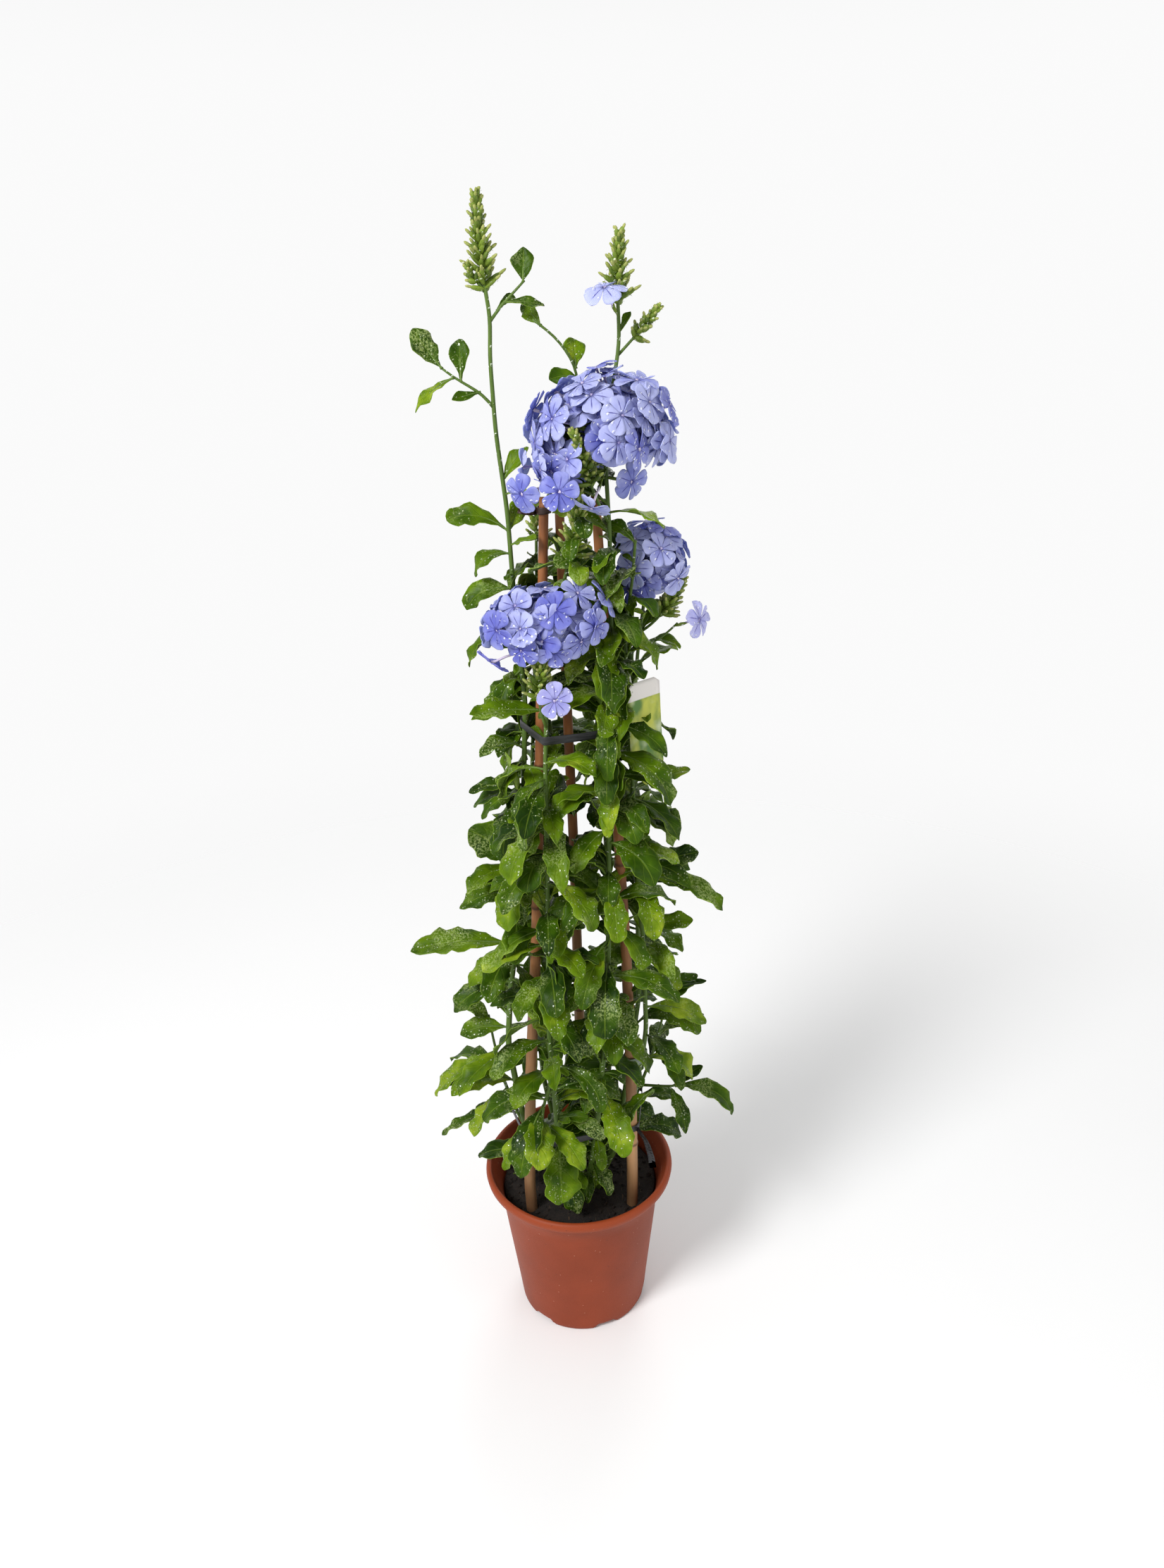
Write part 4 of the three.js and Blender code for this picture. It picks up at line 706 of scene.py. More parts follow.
for name, head in heads.items():
    spiralOfFlorets(name, head["florets"], head["turn"], (0.88, 1.04))
    for face, towards in head["loose"]:
        addFloret(name, face, towards, 0.2)
for name, single in singleFlowers.items():
    floretLists[name] = [{**single, "spin": 18, "size": 1.05}]
    occupy(floretSamples(floretLists[name][0]), balls["petal"], name)

for name, branches in stems.items():
    for branch in branches:
        for height, azimuth, lift, droop, length, width, *roll in branch.get("leaves", []):
            addLeaf(name, root=pointAtHeight(branch["path"], height), azimuth=azimuth, lift=lift, droop=droop,
                    length=length, width=width, roll=roll[0] if roll else 0)
def outwardFrom(point):  # degrees from the column's middle to a point
    return math.degrees(math.atan2(point[1], point[0] - 14 * clamp01(point[2] / 800)))


for name, branches in stems.items():
    rule, line = branches[0]["rule"], branches[0]["path"]
    start, end = distanceAtHeight(line, rule["from"]), distanceAtHeight(line, rule["to"])
    count = math.floor((end - start) / rule["every"])
    for i in range(count):
        point = pointAlong(line, start + i * rule["every"] + dice.between(0, 8))[0]
        share = i / count
        azimuth = outwardFrom(point) + ((rule["turn"] + i * golden) % 360 - 180) * rule["spread"]
        length = mix(*rule["long"], share) * dice.between(0.85, 1.15)
        lift = dice.between(*rule["lift"])
        droop = dice.between(60, 115) * mix(1, 0.85, share)
        width = length * dice.between(0.29, 0.36)
        if point[2] > bareHeight or math.sin(math.radians(azimuth)) > -0.2:
            addLeaf(name, root=point, azimuth=azimuth, lift=lift, droop=droop, length=length, width=width,
                    roll=22 * math.cos(math.radians(azimuth)))
print("layout:", sum(map(len, leafLists.values())), "leaves,", sum(map(len, floretLists.values())), "florets")

# Shader maths: a socket in a wrapper, so that + - * / and ** on it add Math nodes
class Shade:
    def __init__(self, tree, socket=None):
        self.tree, self.socket = tree, socket

    def node(self, kind, settings=None, inputs=None, output=0):
        made = self.tree.nodes.new("ShaderNode" + kind)
        for key, value in (settings or {}).items():
            if key == "stops":
                for place, colour in value[len(made.color_ramp.elements):]:
                    made.color_ramp.elements.new(place)
                for element, (place, colour) in zip(made.color_ramp.elements, value):
                    element.position, element.color = place, (*colour, 1)
            else:
                setattr(made, key, value)
        for key, value in (inputs or {}).items():
            if isinstance(value, Shade):
                self.tree.links.new(value.socket, made.inputs[key])
            elif isinstance(value, tuple) and len(value) == 3 and made.inputs[key].type == "RGBA":
                made.inputs[key].default_value = (*value, 1)
            else:
                made.inputs[key].default_value = value
        return Shade(self.tree, made.outputs[output] if len(made.outputs) else None)

    def maths(self, operation, *values):
        return self.node("Math", {"operation": operation}, dict(enumerate(values)))

    def __add__(self, other):
        return self.maths("ADD", self, other)

    def __radd__(self, other):
        return self.maths("ADD", other, self)

    def __sub__(self, other):
        return self.maths("SUBTRACT", self, other)

    def __rsub__(self, other):
        return self.maths("SUBTRACT", other, self)

    def __mul__(self, other):
        return self.maths("MULTIPLY", self, other)

    def __rmul__(self, other):
        return self.maths("MULTIPLY", other, self)

    def __truediv__(self, other):
        return self.maths("DIVIDE", self, other)

    def __pow__(self, other):
        return self.maths("POWER", self, other)

    def atLeast(self, low):
        return self.maths("MAXIMUM", self, low)

    def absolute(self):
        return self.maths("ABSOLUTE", self)

    def sine(self):
        return self.maths("SINE", self)

    def ramp(self, low, high, start=0.0, end=1.0):  # goes smoothly from start to end while the value rises
        return self.node("MapRange", {"interpolation_type": "SMOOTHSTEP"},
                         {0: self, 1: low, 2: high, 3: start, 4: end})

    def tint(self, factor, a, b):
        return self.node("Mix", {"data_type": "RGBA"}, {0: factor, 6: a, 7: b}, 2)

    def noise(self, place, scale, detail=2.0, roughness=0.5):
        inputs = {"Vector": place, "Scale": scale, "Detail": detail, "Roughness": roughness}
        return self.node("TexNoise", {}, inputs)

    def stretched(self, place, scale):
        return self.node("Mapping", {}, {"Vector": place, "Scale": scale})

    def bump(self, height, distance, strength=1.0):
        return self.node("Bump", {}, {"Height": height, "Distance": distance, "Strength": strength})

    def part(self, vector, axis):
        return self.node("SeparateXYZ", {}, {0: vector}, axis)

    def objectPlace(self):
        return self.node("TexCoord", {}, {}, "Object")

    def tone(self):
        return self.node("Attribute", {"attribute_name": "tone"}, {}, "Fac")

    def bladeParts(self):  # 0 on the midline to 1 at the margins, and 0 at the root to 1 at the tip
        uv = self.node("UVMap", {"uv_map": "UVMap"})
        return (self.part(uv, 0) - 0.5).absolute() * 2, self.part(uv, 1)

    def spots(self, place, scale, low, high):
        cells = self.node("TexVoronoi", {}, {"Vector": place, "Scale": scale}, "Distance")
        return cells.ramp(low, high, 1.0, 0.0)


def colour(red, green, blue):  # from screen values
    return tuple(v / 12.92 if v <= 0.04045 else ((v + 0.055) / 1.055) ** 2.4 for v in (red, green, blue))


# A look gives the sockets of a Principled surface
def makeMaterial(name, look, *choices):
    material = bpy.data.materials.new(name)
    material.use_nodes = True
    material.node_tree.nodes.clear()
    shade = Shade(material.node_tree)
    surface = shade.node("BsdfPrincipled", {}, look(shade, shade.objectPlace(), *choices))
    shade.node("OutputMaterial", {}, {"Surface": surface})
    return material


# Water droplets: round domes where the cells of a Voronoi pattern cut the surface, lit on one side
def droplets(shade, place, cellsPerMetre, size, share):
    def domeAt(where):
        settings = {"feature": "F1"}
        inputs = {"Vector": where, "Scale": cellsPerMetre, "Randomness": 1.0}
        distance = shade.node("TexVoronoi", settings, inputs, "Distance")
        kind = shade.node("TexVoronoi", settings, inputs, "Color")
        chosen = shade.node("SeparateColor", {}, {0: kind}, 0).ramp(1 - share - 0.01, 1 - share + 0.01)
        return (1 - (distance / size) ** 2).atLeast(0.0) ** 0.5 * chosen
    dome = domeAt(place)
    litSide = (-0.0002, -0.00025, 0.0004)
    beside = domeAt(shade.node("VectorMath", {"operation": "ADD"}, {0: place, 1: litSide}))
    return dome, (dome - beside).atLeast(0.0)


def leafLook(s, place, stops, veinColour, roughness):
    across, along = s.bladeParts()
    mottle = s.noise(place, 110.0, 3.0, 0.6)
    patch = s.noise(place, 48.0, 2.0)
    # Mottle and patches make parts of each leaf lighter and darker: partly the leaf's own colour, partly
    # painted light and shade
    shade = s.tone() * 0.7 + (mottle - 0.5) * 0.45 + (patch - 0.5) * 1.2 + 0.1
    base = s.node("ValToRGB", {"stops": stops}, {0: shade})
    midrib = across.ramp(0.02, 0.09, 1.0, 0.0)
    sideVeins = ((along * 5 - across * 1.3) * 6.2832).sine().ramp(0.8, 1.0)
    veins = sideVeins * across.ramp(0.05, 0.2) * across.ramp(0.7, 1.0, 1.0, 0.0)
    base = s.tint(midrib * 0.25 + veins * 0.06, base, veinColour)
    base = s.tint(across.ramp(0.92, 0.99) * 0.5, base, veinColour)
    # Painted highlights on the wet patches: bright lines of the water film, pale sheen patches, and droplets
    # painted lighter with a brighter glint on their lit side
    wet = s.noise(place, 34.0, 1.0).ramp(0.42, 0.58)
    filmGlintLines = (s.noise(place, 150.0, 1.0, 0.5) * 9.0).sine().absolute().ramp(0.0, 0.22, 1.0, 0.0)
    base = s.tint(filmGlintLines * wet * 0.3, base, (0.42, 0.52, 0.16))
    sheen = s.noise(place, 31.0, 1.0).ramp(0.54, 0.68) * s.noise(place, 620.0, 3.0, 0.7).ramp(0.46, 0.58)
    base = s.tint(sheen * 0.42, base, (0.44, 0.53, 0.19))
    dome, glint = droplets(s, place, 430.0, 0.34, 0.5)
    dome, glint = dome * wet, glint * wet
    base = s.tint(dome.ramp(0.0, 0.3) * 0.14, base, (0.40, 0.52, 0.16))
    base = s.tint(glint.ramp(0.2, 0.7) * 0.5, base, (0.66, 0.76, 0.46))
    relief = dome * 1.3 + filmGlintLines * wet * 0.5 - midrib * 0.5 - veins * 0.4 + mottle * 0.5 + patch * 0.8
    return {
        "Base Color": base,
        "Roughness": roughness - dome.ramp(0.0, 0.2) * (roughness - 0.08) + (mottle - 0.5) * 0.25,
        "Normal": s.bump(relief, 0.0009, 0.8),
        "Specular IOR Level": 0.09,
        "Coat Weight": dome.ramp(0.0, 0.2) * 0.6,
        "Coat Roughness": 0.08,
        "Subsurface Weight": 0.15,
        "Subsurface Radius": (0.5, 1.0, 0.1),
        "Subsurface Scale": 0.001,
    }


def stemLook(s, place, dark, light):
    streak = s.noise(s.stretched(place, (900.0, 900.0, 60.0)), 1.0, 2.0)
    base = s.tint((s.tone() * 0.6 + streak * 0.6).ramp(0.1, 1.0), dark, light)
    dome, glint = droplets(s, place, 330.0, 0.4, 0.3)
    return {
        "Base Color": s.tint(glint.ramp(0.1, 0.6) * 0.6, base, (0.84, 0.90, 0.76)),
        "Roughness": 0.5 - dome.ramp(0.0, 0.2) * 0.42,
        "Specular IOR Level": 0.3,
        "Normal": s.bump(streak * 0.5 + dome, 0.0006, 0.7),
    }


def petalLook(s, place, deep, pale, line):
    across, along = s.bladeParts()
    cloud = s.noise(place, 160.0, 3.0)
    base = s.tint((s.tone() * 0.7 + along * 0.35 + (cloud - 0.5) * 0.6).ramp(0.0, 1.0), deep, pale)
    midline = across.ramp(0.02, 0.11, 1.0, 0.0) * along.ramp(0.55, 0.8, 1.0, 0.0)
    veins = ((across * 9 - along * 2.0) * 3.1416).sine().ramp(0.7, 1.0) * along.ramp(0.1, 0.5, 0.5, 0.2)
    base = s.tint(midline * 0.85 + veins * 0.3, base, line)
    base = s.tint(along.ramp(0.0, 0.18, 1.0, 0.0) * 0.6, base, line)
    dome, glint = droplets(s, place, 330.0, 0.4, 0.35)
    return {
        "Base Color": s.tint(glint.ramp(0.1, 0.6) * 0.75, base, (0.90, 0.92, 0.98)),
        "Roughness": 0.6 - dome.ramp(0.0, 0.2) * 0.5,
        "Specular IOR Level": 0.3,
        "Normal": s.bump(dome * 1.2 + cloud * 0.3 - midline * 0.4 - veins * 0.2, 0.0006, 0.8),
        "Subsurface Weight": 0.3,
        "Subsurface Radius": (0.6, 0.7, 1.0),
        "Subsurface Scale": 0.002,
    }


def flowerTubeLook(s, place, deep, pale):
    streak = s.noise(place, 400.0, 2.0)
    return {
        "Base Color": s.tint((s.tone() + (streak - 0.5) * 0.4).ramp(0.0, 1.0), deep, pale),
        "Roughness": 0.45,
        "Subsurface Weight": 0.2,
        "Subsurface Radius": (0.8, 0.7, 1.0),
        "Subsurface Scale": 0.0015,
        "Normal": s.bump(streak, 0.0003, 0.5),
    }


# Moulded plastic: paler towards the rim, with lime in the crease under it and a few bright and dark specks
def potLook(s, place):
    height = s.part(place, 2)
    cloud = s.noise(place, 14.0, 3.0, 0.6)
    grain = s.noise(place, 900.0, 2.0, 0.6)
    base = s.tint(cloud.ramp(0.3, 0.7), colour(0.495, 0.205, 0.10), colour(0.545, 0.23, 0.115))
    base = s.tint(height.ramp(0.136, 0.142) * 0.6, base, colour(0.575, 0.245, 0.105))
    base = s.tint(grain.ramp(0.3, 0.8) * 0.15, base, colour(0.42, 0.18, 0.12))
    crease = height.ramp(0.1385, 0.1395) * height.ramp(0.1398, 0.1408, 1.0, 0.0)
    lime = s.noise(place, 260.0, 5.0, 0.75).ramp(0.5, 0.7) * crease
    base = s.tint(lime * 0.5, base, colour(0.80, 0.62, 0.54))
    bright, dark = s.spots(place, 95.0, 0.03, 0.08), s.spots(place, 90.0, 0.04, 0.09)
    base = s.tint(bright * 0.35, base, colour(0.80, 0.55, 0.44))
    return {
        "Base Color": s.tint(dark * 0.5, base, colour(0.36, 0.17, 0.12)),
        "Roughness": 0.45 + grain * 0.15 - bright * 0.3,
        "Normal": s.bump(grain * 0.3 + bright, 0.0004, 0.5),
        "Specular IOR Level": 0.22,
    }


def soilLook(s, place, dark, light, strands):
    crumb = s.noise(place, 260.0, 6.0, 0.7)
    patch = s.noise(place, 40.0, 3.0)
    fibre = s.noise(s.stretched(place, (900.0, 120.0, 400.0)), 1.0, 2.0).ramp(0.66, 0.74)
    base = s.tint((crumb * 0.7 + patch * 0.5).ramp(0.35, 0.85), dark, light)
    return {
        "Base Color": s.tint(fibre * 0.5, base, strands),
        "Roughness": 0.95,
        "Normal": s.bump(crumb + patch * 0.5, 0.002, 0.9),
    }


# Bamboo: redder higher up, darker at the foot, with long fibres and dark rings at its nodes
def bambooLook(s, place):
    height = s.part(place, 2)
    fibre = s.noise(s.stretched(place, (1400.0, 1400.0, 25.0)), 1.0, 3.0, 0.6)
    patch = s.noise(s.stretched(place, (60.0, 60.0, 14.0)), 1.0, 3.0)
    low = s.tint(patch.ramp(0.3, 0.7), colour(0.47, 0.34, 0.22), colour(0.66, 0.50, 0.34))
    high = s.tint(patch.ramp(0.3, 0.7), colour(0.48, 0.28, 0.15), colour(0.66, 0.43, 0.25))
    base = s.tint((height + (patch - 0.5) * 0.2).ramp(0.2, 0.5), low, high)
    base = s.tint(height.ramp(0.13, 0.19, 0.55, 0.0), base, colour(0.26, 0.18, 0.13))
    base = s.tint(fibre.ramp(0.5, 0.8) * 0.3, base, colour(0.40, 0.24, 0.13))
    return {
        "Base Color": s.tint(s.tone().ramp(0.2, 1.0) * 0.75, base, colour(0.22, 0.12, 0.07)),
        "Roughness": 0.38 + fibre * 0.25,
        "Normal": s.bump(fibre, 0.0004, 0.6),
        "Specular IOR Level": 0.35,
    }


def tapeLook(s, place, dark, light):
    crease = s.noise(s.stretched(place, (80.0, 80.0, 700.0)), 1.0, 3.0, 0.6)
    return {
        "Base Color": s.tint(crease.ramp(0.3, 0.7), dark, light),
        "Roughness": 0.36 + crease * 0.2,
        "Normal": s.bump(crease, 0.0006, 0.6),
    }


# The tag's face: a white strip over a plain field of soft green and yellow patches
def tagLook(s, place):
    along = s.part(s.node("UVMap", {"uv_map": "UVMap"}), 1)
    patch = s.noise(s.stretched(place, (60.0, 60.0, 40.0)), 1.0, 3.0, 0.5)
    field = s.tint(patch.ramp(0.35, 0.65), colour(0.30, 0.47, 0.16), colour(0.74, 0.76, 0.28))
    field = s.tint(s.noise(place, 55.0, 2.0).ramp(0.55, 0.75) * 0.8, field, colour(0.78, 0.82, 0.66))
    grain = s.noise(place, 500.0, 2.0)
    return {
        "Base Color": s.tint(along.ramp(0.16, 0.17), colour(0.88, 0.86, 0.84), field),
        "Roughness": 0.35 + grain * 0.1,
        "Normal": s.bump(grain, 0.0002, 0.3),
    }


leafBlade = makeMaterial("leafBlade", leafLook, [
    (0.0, colour(0.10, 0.19, 0.02)), (0.35, colour(0.21, 0.32, 0.02)), (0.7, colour(0.36, 0.47, 0.04)),
    (1.0, colour(0.58, 0.65, 0.16))], colour(0.52, 0.62, 0.20), 0.4)
leafUnder = makeMaterial("leafUnder", leafLook, [
    (0.0, colour(0.26, 0.35, 0.13)), (0.5, colour(0.37, 0.47, 0.16)), (1.0, colour(0.53, 0.63, 0.22))],
    colour(0.58, 0.68, 0.34), 0.6)
stemGreen = makeMaterial("stemGreen", stemLook, colour(0.19, 0.29, 0.07), colour(0.38, 0.48, 0.19))
budGreen = makeMaterial("budGreen", stemLook, colour(0.20, 0.29, 0.05), colour(0.47, 0.56, 0.18))
budTip = makeMaterial("budTip", stemLook, colour(0.44, 0.50, 0.18), colour(0.62, 0.64, 0.36))
petalBlue = makeMaterial("petalBlue", petalLook, colour(0.34, 0.36, 0.70), colour(0.67, 0.69, 0.88),
                         colour(0.19, 0.16, 0.50))
# darker petals for the florets low on the heads: painted shade
petalShaded = makeMaterial("petalShaded", petalLook, colour(0.18, 0.18, 0.48), colour(0.42, 0.42, 0.76),
                          colour(0.10, 0.09, 0.30))
petalLilac = makeMaterial("petalLilac", petalLook, colour(0.53, 0.53, 0.80), colour(0.75, 0.75, 0.93),
                          colour(0.30, 0.26, 0.56))
corollaTube = makeMaterial("corollaTube", flowerTubeLook, colour(0.55, 0.50, 0.80), colour(0.90, 0.85, 0.92))
potPlastic = makeMaterial("potPlastic", potLook)
soilMix = makeMaterial("soilMix", soilLook, colour(0.035, 0.024, 0.018), colour(0.15, 0.108, 0.08),
                       colour(0.42, 0.32, 0.22))
bamboo = makeMaterial("bamboo", bambooLook)
tapeBlack = makeMaterial("tapeBlack", tapeLook, colour(0.06, 0.06, 0.07), colour(0.16, 0.16, 0.17))
tapeBrown = makeMaterial("tapeBrown", tapeLook, colour(0.15, 0.09, 0.07), colour(0.28, 0.18, 0.14))
tapeGreen = makeMaterial("tapeGreen", tapeLook, colour(0.30, 0.36, 0.30), colour(0.50, 0.56, 0.48))
tagCard = makeMaterial("tagCard", tagLook)
tagRing = makeMaterial("tagRing", tapeLook, colour(0.80, 0.80, 0.76), colour(0.92, 0.92, 0.88))
print("materials made")


# Every finished piece lies at the origin with its place in its mesh, inside the CAD's box
def addPiece(name, bm, materials, node, thickness=0.0, under=False):
    inset = 0.4 * mm
    low, high = cadBox
    for v in bm.verts:
        v.co = [min(max(c, a + (inset if a else 0)), b - inset) for c, a, b in zip(v.co, low, high)]
    mesh = bpy.data.meshes.new(name)
    for face in bm.faces:
        face.smooth = True
    bm.to_mesh(mesh)
    bm.free()
    piece = bpy.data.objects.new(name, mesh)
    bpy.context.scene.collection.objects.link(piece)
    for material in materials:
        mesh.materials.append(material)
    if thickness:
        wall = piece.modifiers.new("thickness", "SOLIDIFY")
        wall.thickness, wall.offset, wall.use_even_offset = thickness * mm, -1, False
        wall.material_offset = 1 if under else 0
    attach(piece, "root")
    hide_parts(node)


def newMesh():
    bm = bmesh.new()
    return bm, bm.loops.layers.uv.new("UVMap"), bm.verts.layers.float.new("tone")


def curveMesh(curve):  # takes the curve's place
    holder = bpy.data.objects.new("run", curve)
    bpy.context.scene.collection.objects.link(holder)
    bpy.context.view_layer.update()
    mesh = bpy.data.meshes.new_from_object(holder.evaluated_get(bpy.context.evaluated_depsgraph_get()))
    bpy.data.objects.remove(holder)
    bpy.data.curves.remove(curve)
    return mesh


# Adds round tubes to a piece, each run with its own points, radii and tone: curves with a bevel, made a mesh
def addTubes(bm, runs, sides=6):
    curve = bpy.data.curves.new("run", "CURVE")
    curve.dimensions, curve.bevel_depth = "3D", mm
    curve.bevel_resolution, curve.use_fill_caps = sides // 2 - 2, True
    tones = []
    for run in runs:
        spline = curve.splines.new("POLY")
        spline.points.add(len(run["points"]) - 1)
        for end, point, radius in zip(spline.points, run["points"], run["radii"]):
            end.co, end.radius = (*(c * mm for c in point), 1), radius
        tones += [run["tone"]] * (sides * (len(run["points"]) + 2))
    mesh = curveMesh(curve)
    mesh.attributes.new("tone", "FLOAT", "POINT").data.foreach_set("value", tones)
    bm.from_mesh(mesh)
    bpy.data.meshes.remove(mesh)


def closeTubes(bm, first=0):  # joins the end caps of the tubes that were added from that point on
    bmesh.ops.remove_doubles(bm, verts=list(bm.verts)[first:], dist=0.000004)
    bmesh.ops.recalc_face_normals(bm, faces=bm.faces[:])


# Rounds a path's corners: points every few millimetres, each the mean of its neighbours
def smoothLine(path, every=6, passes=3):
    length = lineLength(path)
    count = max(2, round(length / every))
    points = [pointAlong(path, length * i / count)[0] for i in range(count + 1)]
    for _ in range(passes):
        rounded = [lerp(lerp(a, c, 0.5), b, 0.5) for a, b, c in zip(points, points[1:], points[2:])]
        points = [points[0], *rounded, points[-1]]
    return points


# More leaves fill the column between those that the CAD has. They keep within the column's reach, and leave
# windows where something behind them shows: left, right, bottom and top at a depth, as seen by the eye.
filling = {
    "bottom": 150,
    "tops": {
        "stem_left": 800, "stem_centre": 740, "stem_front": 640, "stem_right": 690, "stem_right_front": 712,
        "stem_back_left": 735, "stem_back_right": 800,
        "shoot_left": 308, "shoot_front": 286, "shoot_right": 302,
    },
    "rounds": [
        {"every": 13, "long": (56, 92), "spread": 150, "lift": (0, 50), "droop": (70, 125), "near": 0.42},
        {"every": 12, "long": (40, 64), "spread": 180, "lift": (-10, 60), "droop": (30, 110), "near": 0.42},
        {"every": 14, "long": (16, 34), "spread": 180, "lift": (-10, 70), "droop": (20, 90), "near": 0.38},
    ],
    "ball": 1.2,
    "reach": [(150, 32), (235, 42), (320, 54), (420, 60), (560, 64), (700, 52), (800, 24), (900, 20)],
    "axis": (14, -16), "deeper": 1.25,
    "windows": [
        (-26, 24, 572, 652, -60), (-42, -2, 558, 598, -46), (56, 90, 520, 632, -34),  # floret, tie, tag
        (-15, -2, 664, 745, -6), (-27, -21, 402, 430, -26), (-32, -27, 360, 384, -28),  # left cane
        (-40, -33, 254, 310, -34), (-47, -41, 125, 165, -39),
        (44, 52, 352, 402, -28), (43, 47, 428, 441, -26), (43, 47, 454, 468, -24),  # right cane
        (45, 53, 243, 276, -33), (45, 53, 206, 220, -35), (45, 53, 125, 172, -36),
        (2, 10, 522, 574, 22), (5, 10, 462, 478, 28), (4, 9, 350, 362, 36), (1, 7, 268, 286, 38),  # back cane
        (23, 31, 496, 506, 70), (31, 38, 428, 438, 70), (22, 29, 330, 346, 70),  # light
        (-14, -6, 398, 406, 70),
    ],
}


def leavesWindows(samples):
    for p, _, _ in samples:
        for left, right, bottom, top, depth in filling["windows"]:
            if p[1] < depth:
                far = (depth - eye[1]) / (p[1] - eye[1])
                x, z = (mix(eye[k], p[k], far) for k in (0, 2))
                if left < x < right and bottom < z < top:
                    return False
    return True


def fitsColumn(samples):
    for p, _, _ in samples:
        height = p[2]
        for (low, inner), (high, outer) in zip(filling["reach"], filling["reach"][1:]):
            if low <= height <= high:
                reach = mix(inner, outer, (height - low) / (high - low))
                forward = (p[1] - filling["axis"][1]) / filling["deeper"]
                if math.hypot(p[0] - filling["axis"][0] * height / 800, forward) > reach:
                    return False
    return leavesWindows(samples)


def fillLeaf(name, height, tries, closeness, **start):
    addLeaf(name, filling["ball"], tries, closeness, leavesWindows,
            root=pointAtHeight(stems[name][0]["path"], height), **start)


# Leaves that hang in front of the canes: stem, root height, how far the tip drops and drifts right, width
hangingLeaves = [
    ("stem_centre", 490, 43, -6, 26), ("stem_centre", 452, 50, -14, 28), ("stem_left", 448, 57, 6, 25),
    ("stem_front", 536, 40, -19, 18), ("stem_front", 524, 31, 14, 16), ("stem_front", 486, 37, 4, 21),
    ("stem_centre", 386, 51, 33, 25), ("stem_front", 392, 47, -6, 22), ("stem_centre", 574, 24, 1, 15),
    ("stem_centre", 562, 27, -10, 16), ("stem_centre", 556, 33, 14, 18), ("stem_left", 516, 46, -17, 24),
    ("stem_right_front", 502, 31, 22, 20), ("stem_front", 434, 30, -23, 18), ("stem_front", 398, 35, 12, 20),
    ("stem_left", 548, 30, -14, 17), ("stem_front", 548, 30, -20, 17), ("stem_centre", 466, 25, 17, 18),
    ("stem_front", 434, 46, 2, 22), ("stem_centre", 592, 44, -26, 20), ("stem_centre", 530, 40, -30, 20),
    ("stem_centre", 520, 38, 8, 22), ("stem_front", 508, 44, -26, 22), ("stem_left", 486, 50, 18, 24),
    ("stem_left", 420, 48, 10, 22), ("stem_front", 462, 44, 22, 22), ("stem_right_front", 440, 44, -12, 22),
    ("stem_front", 366, 48, 18, 24), ("stem_left", 372, 46, 22, 22), ("stem_centre", 356, 46, -20, 22),
    ("stem_front", 340, 40, -24, 20), ("stem_centre", 332, 40, 14, 20), ("stem_centre", 430, 44, -30, 22),
    ("stem_centre", 606, 42, -24, 22), ("stem_centre", 616, 34, -34, 20), ("stem_centre", 628, 48, 10, 24),
    ("stem_front", 612, 34, 30, 20), ("stem_right_front", 560, 36, -28, 20),
    ("stem_right_front", 590, 34, -20, 18), ("stem_front", 572, 30, 18, 16),
    ("stem_centre", 640, 38, -16, 18), ("shoot_front", 246, 46, -13, 26),
    ("stem_centre", 664, 36, 14, 18), ("stem_centre", 686, 34, -18, 16), ("stem_centre", 712, 36, -6, 16),
]
for name, height, drop, drift, width in hangingLeaves:
    length = drop * 1.25 + abs(drift) * 0.35
    azimuth = -90 + math.degrees(math.asin(max(-0.95, min(0.95, drift / (0.73 * length)))))
    fillLeaf(name, height, 9, 0.3, azimuth=azimuth, lift=dice.between(0, 24), droop=dice.between(80, 112),
             length=length, width=width, roll=dice.between(-26, 26))
# and leaves that cross what is behind: stem, root height, azimuth, lift, droop, length, width, roll
crossingLeaves = [
    ("stem_front", 736, -75, 20, 105, 28, 13, 0), ("stem_front", 722, -100, 10, 100, 26, 13, 10),
    ("stem_front", 706, -70, 15, 100, 30, 14, 0), ("stem_front", 694, -110, 10, 100, 26, 12, 0),
    ("stem_centre", 704, 184, 25, 55, 47, 18, -30), ("stem_centre", 722, 178, 30, 60, 46, 17, -30),
    ("stem_centre", 742, 184, 25, 60, 47, 17, -30), ("stem_centre", 690, 182, 25, 60, 44, 16, -30),
    ("stem_front", 408, -148, 0, 60, 58, 22, -20),
    ("stem_centre", 612, 200, 10, 50, 46, 20, -20), ("stem_centre", 596, 205, 15, 80, 44, 18, -20),
    ("stem_centre", 562, 212, 5, 70, 56, 24, -20), ("stem_centre", 588, 188, 30, 60, 36, 18, -30),
]
for name, height, azimuth, lift, droop, length, width, roll in crossingLeaves:
    fillLeaf(name, height, 9, 0.3, azimuth=azimuth, lift=lift, droop=droop, length=length, width=width,
             roll=roll)
